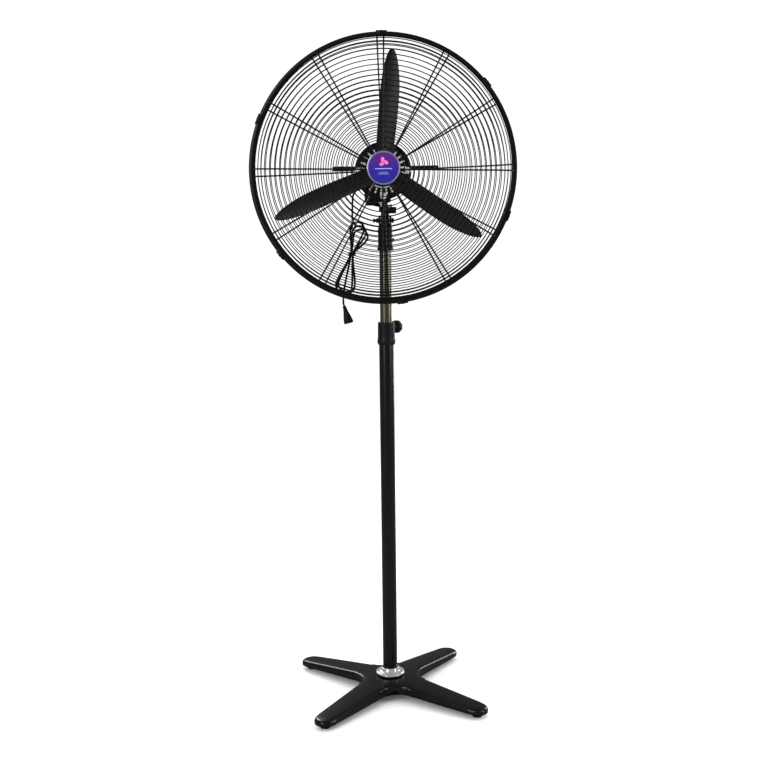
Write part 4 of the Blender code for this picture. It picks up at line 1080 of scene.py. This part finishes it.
class FAN_OT_gearbox(bpy.types.Operator):
    """Make the swing gearbox, its cover, the carrying bar and the control knobs"""

    bl_idname = "fan.gearbox"
    bl_label = "Gearbox"

    def execute(self, context):
        refined_copy("gearbox_housing", "cast_black_paint", "head", 0.0008, self.housing_detail)
        refined_copy("gearbox_cover", "cast_black_paint", "head", 0.0008, self.cover_detail)
        self.make_bar()
        self.make_switch_box()
        self.make_knobs()
        dress_node("worm_wheel", "yellow_brass")
        dress_node("crank_disc", "blackened_steel")
        dress_node("capacitor", "pale_nylon")
        return {"FINISHED"}

    def housing_detail(self, bm):
        """Stiffening ribs on both sides, and a curved shield round the crank underneath."""
        low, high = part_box("gearbox_housing")
        for side in (low.x, high.x):
            for y in (-0.008, 0.009, 0.026):
                corner, far = (side - 0.001, y, low.z + 0.014), (side + 0.001, y + 0.0035, high.z - 0.014)
                add_box(bm, corner, far, 0.0007, 1)
        shield = soften([(0.0252, 0.0), (0.0266, 0.0), (0.0266, -0.0092), (0.0252, -0.0092)], 0.0003, True)
        known = set(bm.verts)
        verts = [bm.verts.new((reach, 0.0, height)) for reach, height in shield]
        face = bm.faces.new(verts)
        spin_round(bm, [face, *face.edges, *verts], 40, math.radians(200))
        made = verts_since(bm, known)
        turn_round(bm, made, math.radians(100))
        bmesh.ops.translate(bm, verts=made, vec=(*CRANK_CENTRE, low.z + 0.0008))

    def cover_detail(self, bm):
        low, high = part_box("gearbox_cover")
        for x in (low.x + 0.01, high.x - 0.01):
            for y in (low.y + 0.012, high.y - 0.012):
                start, end = (x, y, high.z - 0.001), (x, y, high.z + 0.0024)
                add_rod(bm, start, end, 0.0042, end_radius=0.0036, sides=24, bevel=0.0006)

    def make_bar(self):
        low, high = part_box("handle_bar")
        y, z = (low.y + high.y) / 2, (low.z + high.z) / 2
        bm = bmesh.new()
        add_rod(bm, (low.x, y, z), (high.x, y, z), 0.007, sides=48, bevel=0.0015)
        for centre in (low.x + 0.02, high.x - 0.02):
            for groove in range(5):
                x = centre + (groove - 2) * 0.0062
                add_rod(bm, (x - 0.002, y, z), (x + 0.002, y, z), 0.00745, sides=48, bevel=0.0005)
        finish_piece("carrying_bar", bm, "satin_black_coating", "head", ("handle_bar",))

    def make_switch_box(self):
        low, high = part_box("switch_box")
        bm = bmesh.new()
        add_box(bm, low, high, 0.0035, 3)
        edge = 0.01
        plate = (low.x - 0.0004, low.y + edge, low.z + edge), (low.x + 0.002, high.y - edge, high.z - edge)
        add_box(bm, *plate, 0.0004, 1)
        for z in (low.z + 0.008, high.z - 0.008):
            start, end = (low.x + edge, high.y - 0.001, z), (low.x + edge, high.y + 0.0016, z)
            add_rod(bm, start, end, 0.003, sides=24, bevel=0.0005)
        seat = Matrix.Translation((SPEED_KNOB.x, high.y - 0.0002, SPEED_KNOB.z)) @ FACING_BACK
        add_turned(bm, [(0.0135, 0.0), (0.0135, 0.0012), (0.0115, 0.0012), (0.0115, 0.0)], 48, seat, 0.0003)
        finish_piece("switch_case", bm, BLACK_PLASTIC, "head", ("switch_box",))

    def make_knobs(self):
        """The speed knob behind the switch box, and the push knob that lets the head swing."""
        profile = [
            (0.0, 0.048), (0.0032, 0.048), (0.0032, 0.063), (0.0102, 0.0634), (0.0105, 0.065),
            (0.0098, 0.075), (0.009, 0.076), (0.0, 0.076),
        ]
        bm = bmesh.new()
        made = add_turned(bm, profile, 72, None, 0.0006)
        cut_flutes(made, 18, 0.06, 0.0088, low=0.0636)
        bmesh.ops.transform(bm, matrix=Matrix.Translation(SPEED_KNOB) @ FACING_BACK, verts=made)
        add_box(bm, (-0.0712, 0.0752, 1.5695), (-0.0688, 0.0774, 1.5768), 0.0004, 1)
        finish_piece("speed_dial", bm, BLACK_PLASTIC, "speed_selector", ("speed_knob",))
        low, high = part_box("oscillation_knob")
        centre = (low + high) / 2
        profile = [
            (0.0, high.z), (0.0068, high.z), (0.0095, high.z - 0.0012), (0.0105, high.z - 0.004),
            (0.0104, high.z - 0.01), (0.008, high.z - 0.014), (0.006, high.z - 0.017), (0.006, 1.6216),
            (0.003, 1.6216), (0.003, low.z), (0.0, low.z),
        ]
        bm = bmesh.new()
        made = add_turned(bm, profile, 72, None, 0.0006)
        cut_flutes(made, 16, 0.05, 0.009)
        bmesh.ops.translate(bm, verts=made, vec=(centre.x, centre.y, 0.0))
        node = "oscillation_knob"
        finish_piece("swing_push_knob", bm, BLACK_PLASTIC, "swing_knob", (node,))


# ---------------------------------------------------------------- motor


class FAN_OT_motor(bpy.types.Operator):
    """Make the motor's covers, their bright ribs and the guard screws"""

    bl_idname = "fan.motor"
    bl_label = "Motor"

    def execute(self, context):
        front = [
            (0.0066, 0.112), (0.077, 0.112), (0.08, 0.109), (0.08, 0.106), (0.07, 0.102), (0.07, 0.088),
            (0.066, 0.088), (0.066, 0.106), (0.02, 0.107), (0.018, 0.1), (0.0143, 0.1), (0.0143, 0.108),
            (0.0066, 0.108),
        ]
        fin = (0.0698, -0.0012, 0.0885), (0.073, 0.0012, 0.104)
        self.make_shield("motor_front_shield", front, 0.0008, ((*fin, FINS),), "motor_front_cover")
        rear = [
            (0.07, 0.062), (0.07, 0.034), (0.066, 0.027), (0.058, 0.022), (0.0066, 0.022), (0.0066, 0.026),
            (0.0143, 0.026), (0.0143, 0.035), (0.018, 0.035), (0.02, 0.026), (0.056, 0.026), (0.066, 0.036),
            (0.066, 0.062),
        ]
        fin = (0.0696, -0.0012, 0.034), (0.073, 0.0012, 0.0615)
        bar = (0.03, -0.0016, 0.0212), (0.054, 0.0016, 0.0226)
        self.make_shield("motor_rear_shield", rear, 0.001, ((*fin, FINS), (*bar, SLOTS)), "motor_rear_cover")
        self.make_ribs()
        self.make_screws()
        dress_node("stator_core", "laminated_core")
        for node in ("winding_front", "winding_rear"):
            dress_node(node, "wound_copper")
        for node in ("bearing_front", "bearing_rear", "rotor_core", "rotor_shaft"):
            dress_node(node, "turned_steel")
        return {"FINISHED"}

    def make_shield(self, name, profile, round_by, bars, node):
        """A turned cover with bars standing on it, each given by two corners and a count."""
        bm = bmesh.new()
        add_turned(bm, profile, 120, MOTOR_AXIS, round_by)
        for low, high, count in bars:
            add_copies_round(bm, add_box(bm, low, high, 0.0005, 1), count, MOTOR_AXIS)
        finish_piece(name, bm, "cast_black_paint", "head", (node,), 32.0)

    def make_ribs(self):
        """Short ribs of bare aluminium round the front shield, between its centre and the guard's seat. Their
        pale, mostly diffuse colour is painted highlight for the glints on them, and the collar under them
        shares it.
        """
        bm = bmesh.new()
        rib = add_box(bm, (0.05, -0.0026, 0.1118), (0.0655, 0.0026, 0.1215), 0.0016, 3)
        turn_round(bm, rib, FIRST_RIB)
        add_copies_round(bm, rib, RIBS, MOTOR_AXIS)
        collar = [(0.0475, 0.118), (0.0475, 0.1118), (0.044, 0.1118), (0.044, 0.118)]
        add_turned(bm, collar, 96, MOTOR_AXIS, 0.0006)
        finish_piece("shield_ribs", bm, "raw_aluminium", "head", ())

    def make_screws(self):
        """The bolts that hold the rear guard, each on a round washer."""
        head = [
            (0.0, 0.1222), (0.0034, 0.122), (0.0058, 0.1208), (0.007, 0.1188), (0.007, 0.1168), (0.0, 0.1168),
        ]
        shank_and_washer = (0.106, 0.118, 0.0022, 20, 0.0), (0.1157, 0.1172, 0.0094, 40, 0.0004)
        for number in range(BOLTS):
            turn = Matrix.Rotation(number * TURN / BOLTS, 4, "Z")
            seat = MOTOR_AXIS @ turn @ Matrix.Translation((BOLT_CIRCLE, 0.0, 0.0))
            bm = bmesh.new()
            for start, end, radius, sides, bevel in shank_and_washer:
                foot, tip = seat @ Vector((0, 0, start)), seat @ Vector((0, 0, end))
                add_rod(bm, foot, tip, radius, None, sides, bevel)
            add_turned(bm, head, 36, seat)
            node = f"guard_screw_{number + 1}"
            finish_piece(f"guard_bolt_{number + 1}", bm, "bright_zinc", "head", (node,))


# ---------------------------------------------------------------- guards


def guard_profile(radius, rear):
    """How far forward a guard's surface lies at a radius: flat in the middle and curved at the shoulder."""
    rim, face = (0.1755, 0.1165) if rear else (0.1865, 0.235)
    if radius <= SHOULDER_START:
        return face + (0.0 if rear else 0.006 * (1 - (radius / SHOULDER_START) ** 2))
    along = (radius - SHOULDER_START) / (RIM_RADIUS - SHOULDER_START)
    return rim + (face - rim) * math.sqrt(max(1 - min(along, 1.0) ** 2.6, 0.0))


class FAN_OT_guards(bpy.types.Operator):
    """Make both wire guards and the clips that hold their rims together"""

    bl_idname = "fan.guards"
    bl_label = "Guards"

    def execute(self, context):
        settings = context.scene.fan_guard
        self.make_guard("rear_cage", True, REAR_SPOKE_TURN, settings, 0.0765, 0)
        self.make_guard("front_cage", False, FRONT_SPOKE_TURN, settings, 0.038, 2)
        self.make_clips()
        return {"FINISHED"}

    def make_guard(self, name, rear, turn, settings, inner, more_rings):
        bm = bmesh.new()
        side = -1 if rear else 1
        lift = side * (settings.ring_wire + settings.spoke_wire) * 0.45
        reach = FIRST_RING - more_rings * settings.ring_pitch
        while reach < RIM_RADIUS - 0.6 * settings.ring_pitch:
            steps = 48 if reach < 0.12 else 72 if reach < 0.24 else 96
            add_ring(bm, reach, guard_profile(reach, rear), settings.ring_wire, steps, 6)
            step = settings.ring_pitch if reach < 0.33 else settings.ring_pitch * 0.62
            reach += step
        add_ring(bm, RIM_RADIUS, guard_profile(RIM_RADIUS, rear), settings.rim_wire, 144, 12)
        reaches = [inner, 0.11, 0.16, 0.21, 0.25, 0.275, 0.295, 0.312, 0.326, 0.337, 0.346, 0.352]
        spoke = [Vector((r, 0.0, guard_profile(r, rear) + lift)) for r in reaches]
        ends = ((0.3568, 0.017), (0.359, 0.0095))
        spoke += [Vector((r, 0.0, RIM_PLANE + side * away)) for r, away in ends]
        made = add_sweep(bm, spoke, settings.spoke_wire)
        turn_round(bm, made, turn)
        add_copies_round(bm, made, settings.spokes)
        if rear:
            seat = [(0.079, 0.1157), (0.079, 0.1123), (0.03, 0.1123), (0.03, 0.1157)]
        else:
            seat = [(0.043, 0.2462), (0.043, 0.241), (0.03, 0.241), (0.03, 0.2462)]
        add_turned(bm, seat, 96, None, 0.0006)
        if not rear:
            self.add_rim_band(bm)
        bmesh.ops.transform(bm, matrix=MOTOR_AXIS, verts=bm.verts)
        node = "rear_guard" if rear else "front_guard"
        finish_piece(name, bm, "satin_black_coating", "head", (node,), 45.0)

    def add_rim_band(self, bm):
        """The rolled channel that covers both rims, a little deeper at the bottom and the sides."""
        channel = [
            (0.353, 0.1918), (0.354, 0.1926), (0.3655, 0.1926), (0.367, 0.1912), (0.367, 0.1718),
            (0.3655, 0.1704), (0.354, 0.1704), (0.353, 0.1712), (0.353, 0.1716), (0.365, 0.1716),
            (0.3658, 0.1724), (0.3658, 0.1906), (0.365, 0.1914), (0.353, 0.1914),
        ]
        for vertex in add_turned(bm, channel, 144):
            if vertex.co.xy.length < 0.36:
                vertex.co.x += 0.001
                vertex.co.y += 0.0028

    def make_clips(self):
        """Folded strips over both rims, each closed by a small screw."""
        for number, degrees in enumerate(CLIP_ANGLES, 1):
            bm = bmesh.new()
            add_box(bm, (0.3671, -0.015, 0.1694), (0.37, 0.015, 0.1934), 0.0011)
            for height in (0.1927, 0.1688):
                add_box(bm, (0.359, -0.012, height), (0.369, 0.012, height + 0.0015), 0.0006)
            add_rod(bm, (0.369, 0.0, RIM_PLANE), (0.3716, 0.0, RIM_PLANE), 0.0036, sides=24, bevel=0.0006)
            turn_round(bm, bm.verts, math.radians(degrees))
            bmesh.ops.transform(bm, matrix=MOTOR_AXIS, verts=bm.verts)
            node = f"guard_clip_{number}"
            finish_piece(f"rim_clip_{number}", bm, "satin_black_coating", "head", (node,))


class FAN_OT_badge(bpy.types.Operator):
    """Make the round badge with its plain emblem"""

    bl_idname = "fan.badge"
    bl_label = "Badge"

    def execute(self, context):
        rim = [
            (0.045, 0.2495), (0.045, 0.2468), (0.0405, 0.2466), (0.0408, 0.25), (0.0425, 0.2518),
            (0.0442, 0.2512),
        ]
        turned_piece("badge_surround", rim, "badge_rim", "head", (), 120, BADGE_AXIS, 0.0004)
        face = [
            (0.0, 0.2506), (0.02, 0.2504), (0.034, 0.2498), (0.0409, 0.249), (0.0409, 0.2466), (0.0, 0.2466),
        ]
        turned_piece(
            "badge_disc", face, "badge_face", "head", ("badge_plate",), 120, BADGE_AXIS, 0.0003,
        )
        self.make_emblem()
        self.make_rules()
        return {"FINISHED"}

    def make_emblem(self):
        """Three round petals, like a turning rotor."""
        bm = bmesh.new()
        for number in range(3):
            lay = (
                BADGE_AXIS
                @ Matrix.Translation((0.0, 0.0155, 0.25035))
                @ Matrix.Rotation(math.radians(90 + 120 * number), 4, "Z")
                @ Matrix.Translation((0.0062, 0.0022, 0.0))
                @ Matrix.Diagonal((1.25, 0.82, 1.0, 1.0))
            )
            bmesh.ops.create_cone(
                bm, cap_ends=True, segments=40, radius1=0.0058, radius2=0.0056, depth=0.0008, matrix=lay,
            )
        finish_piece("badge_emblem", bm, "badge_pink", "head", ())

    def make_rules(self):
        """Plain lines under the emblem."""
        bm = bmesh.new()
        for low, half, thick in ((-0.0035, 0.023, 0.0022), (-0.0125, 0.011, 0.001), (-0.017, 0.015, 0.0012)):
            add_box(bm, (-half, low, 0.2499), (half, low + thick, 0.2507), 0.0002, 1, BADGE_AXIS)
        finish_piece("badge_rules", bm, "badge_pale", "head", ())


# ---------------------------------------------------------------- blades


def blade_edges(along):
    """Distances of the leading and the trailing edge from the blade's own radius, seen from the front."""
    tip = math.sqrt(max(1 - (max(along - 0.6, 0.0) / 0.4) ** 2.3, 0.0))
    lead = (0.0232 + 0.001 * math.sin(math.pi * min(along, 1.0))) * tip
    trail = (0.0225 + 0.0068 * math.sin(math.pi * min(along / 1.15, 1.0)) ** 1.3) * tip
    return max(lead, 0.0012), max(trail, 0.0012)


def blade_pitch(radius):
    return math.radians(38.0 - 16.0 * radius / BLADE_TIP)


def blade_lay(turn):
    """Puts a blade drawn along +X in its plane, at its turn round the shaft."""
    return MOTOR_AXIS @ Matrix.Translation((0, 0, BLADE_PLANE)) @ Matrix.Rotation(turn, 4, "Z")


class FAN_OT_blades(bpy.types.Operator):
    """Make the three blades, their arms and the hub"""

    bl_idname = "fan.blades"
    bl_label = "Blades"

    def execute(self, context):
        for number, turn in enumerate(BLADE_TURNS, 1):
            self.make_blade(number, turn)
        self.make_hub()
        return {"FINISHED"}

    def make_blade(self, number, turn):
        """A twisted and cambered sheet with a rounded, pointed tip."""
        bm = bmesh.new()
        bmesh.ops.create_grid(bm, x_segments=56, y_segments=14, size=0.5)
        for vertex in bm.verts:
            out = 1 - (0.5 - vertex.co.x) ** 1.35
            radius = BLADE_ROOT + (BLADE_TIP - BLADE_ROOT) * out
            lead, trail = blade_edges(radius / BLADE_TIP)
            side = 2 * vertex.co.y
            across = side * (lead if side > 0 else trail)
            camber = 0.0042 * (1 - side**2) * (1 - 0.4 * out)
            forward = across * math.tan(blade_pitch(radius)) + camber
            vertex.co = (radius, across, forward)
        bmesh.ops.solidify(bm, geom=bm.verts[:] + bm.edges[:] + bm.faces[:], thickness=0.0016)
        bmesh.ops.transform(bm, matrix=blade_lay(turn), verts=bm.verts)
        node = f"blade_{number}"
        finish_piece(f"fan_blade_{number}", bm, "blade_paint", "rotor", (node,), 40.0)

    def make_hub(self):
        """A turned hub with a riveted arm behind each blade."""
        bm = bmesh.new()
        hub = [
            (0.0063, 0.18), (0.018, 0.18), (0.0215, 0.176), (0.024, 0.17), (0.024, 0.142), (0.0225, 0.14),
            (0.0063, 0.14),
        ]
        add_turned(bm, hub, 72, MOTOR_AXIS, 0.001)
        for turn in BLADE_TURNS:
            known = set(bm.verts)
            arm = bmesh.ops.create_grid(bm, x_segments=10, y_segments=4, size=0.5)["verts"]
            for vertex in arm:
                radius = 0.018 + 0.082 * (vertex.co.x + 0.5)
                across = 2 * vertex.co.y * 0.0125 * math.sqrt(max(1 - max(radius - 0.085, 0) / 0.016, 0.15))
                vertex.co = (radius, across, across * math.tan(blade_pitch(radius)) - 0.004)
            geom = arm + links_of(arm, "edges") + links_of(arm, "faces")
            bmesh.ops.solidify(bm, geom=geom, thickness=0.0026)
            for radius in (0.048, 0.066, 0.084):
                add_rod(bm, (radius, 0.0, -0.0065), (radius, 0.0, 0.0062), 0.0034, sides=24, bevel=0.0008)
            bmesh.ops.transform(bm, matrix=blade_lay(turn), verts=verts_since(bm, known))
        finish_piece("rotor_hub", bm, "satin_black_coating", "rotor", ("blade_hub",))


# ---------------------------------------------------------------- panel and registration


class FAN_PT_pieces(bpy.types.Panel):
    """Lists the fan's pieces and settings"""

    bl_idname = "FAN_PT_pieces"
    bl_label = "Pedestal fan"
    bl_space_type = "VIEW_3D"
    bl_region_type = "UI"
    bl_category = "Fan"

    def draw(self, context):
        layout = self.layout
        scene = context.scene
        for title, settings in (
            ("Stage", scene.fan_stage), ("Finishes", scene.fan_finish), ("Guards", scene.fan_guard),
            ("Lead", scene.fan_cord),
        ):
            box = layout.box()
            box.label(text=title)
            for name in settings.__annotations__:
                box.prop(settings, name)
        for operator in OPERATORS:
            layout.operator(operator.bl_idname)


SETTINGS = {
    "fan_stage": FanStageSettings,
    "fan_finish": FanFinishSettings,
    "fan_guard": FanGuardSettings,
    "fan_cord": FanCordSettings,
}
OPERATORS = (
    FAN_OT_stage,
    FAN_OT_mains_lead,
    FAN_OT_base,
    FAN_OT_pole,
    FAN_OT_neck,
    FAN_OT_gearbox,
    FAN_OT_motor,
    FAN_OT_guards,
    FAN_OT_badge,
    FAN_OT_blades,
)


def register():
    for cls in (*SETTINGS.values(), *OPERATORS, FAN_PT_pieces):
        bpy.utils.register_class(cls)
    for name, cls in SETTINGS.items():
        setattr(bpy.types.Scene, name, bpy.props.PointerProperty(type=cls))


def unregister():
    for name in SETTINGS:
        delattr(bpy.types.Scene, name)
    for cls in reversed((*SETTINGS.values(), *OPERATORS, FAN_PT_pieces)):
        bpy.utils.unregister_class(cls)


def main():
    """Makes every piece in order."""
    register()
    bpy.ops.fan.stage()
    bpy.ops.fan.mains_lead()
    bpy.ops.fan.base()
    bpy.ops.fan.pole()
    bpy.ops.fan.neck()
    bpy.ops.fan.gearbox()
    bpy.ops.fan.motor()
    bpy.ops.fan.guards()
    bpy.ops.fan.badge()
    bpy.ops.fan.blades()


if __name__ == "__main__":
    main()
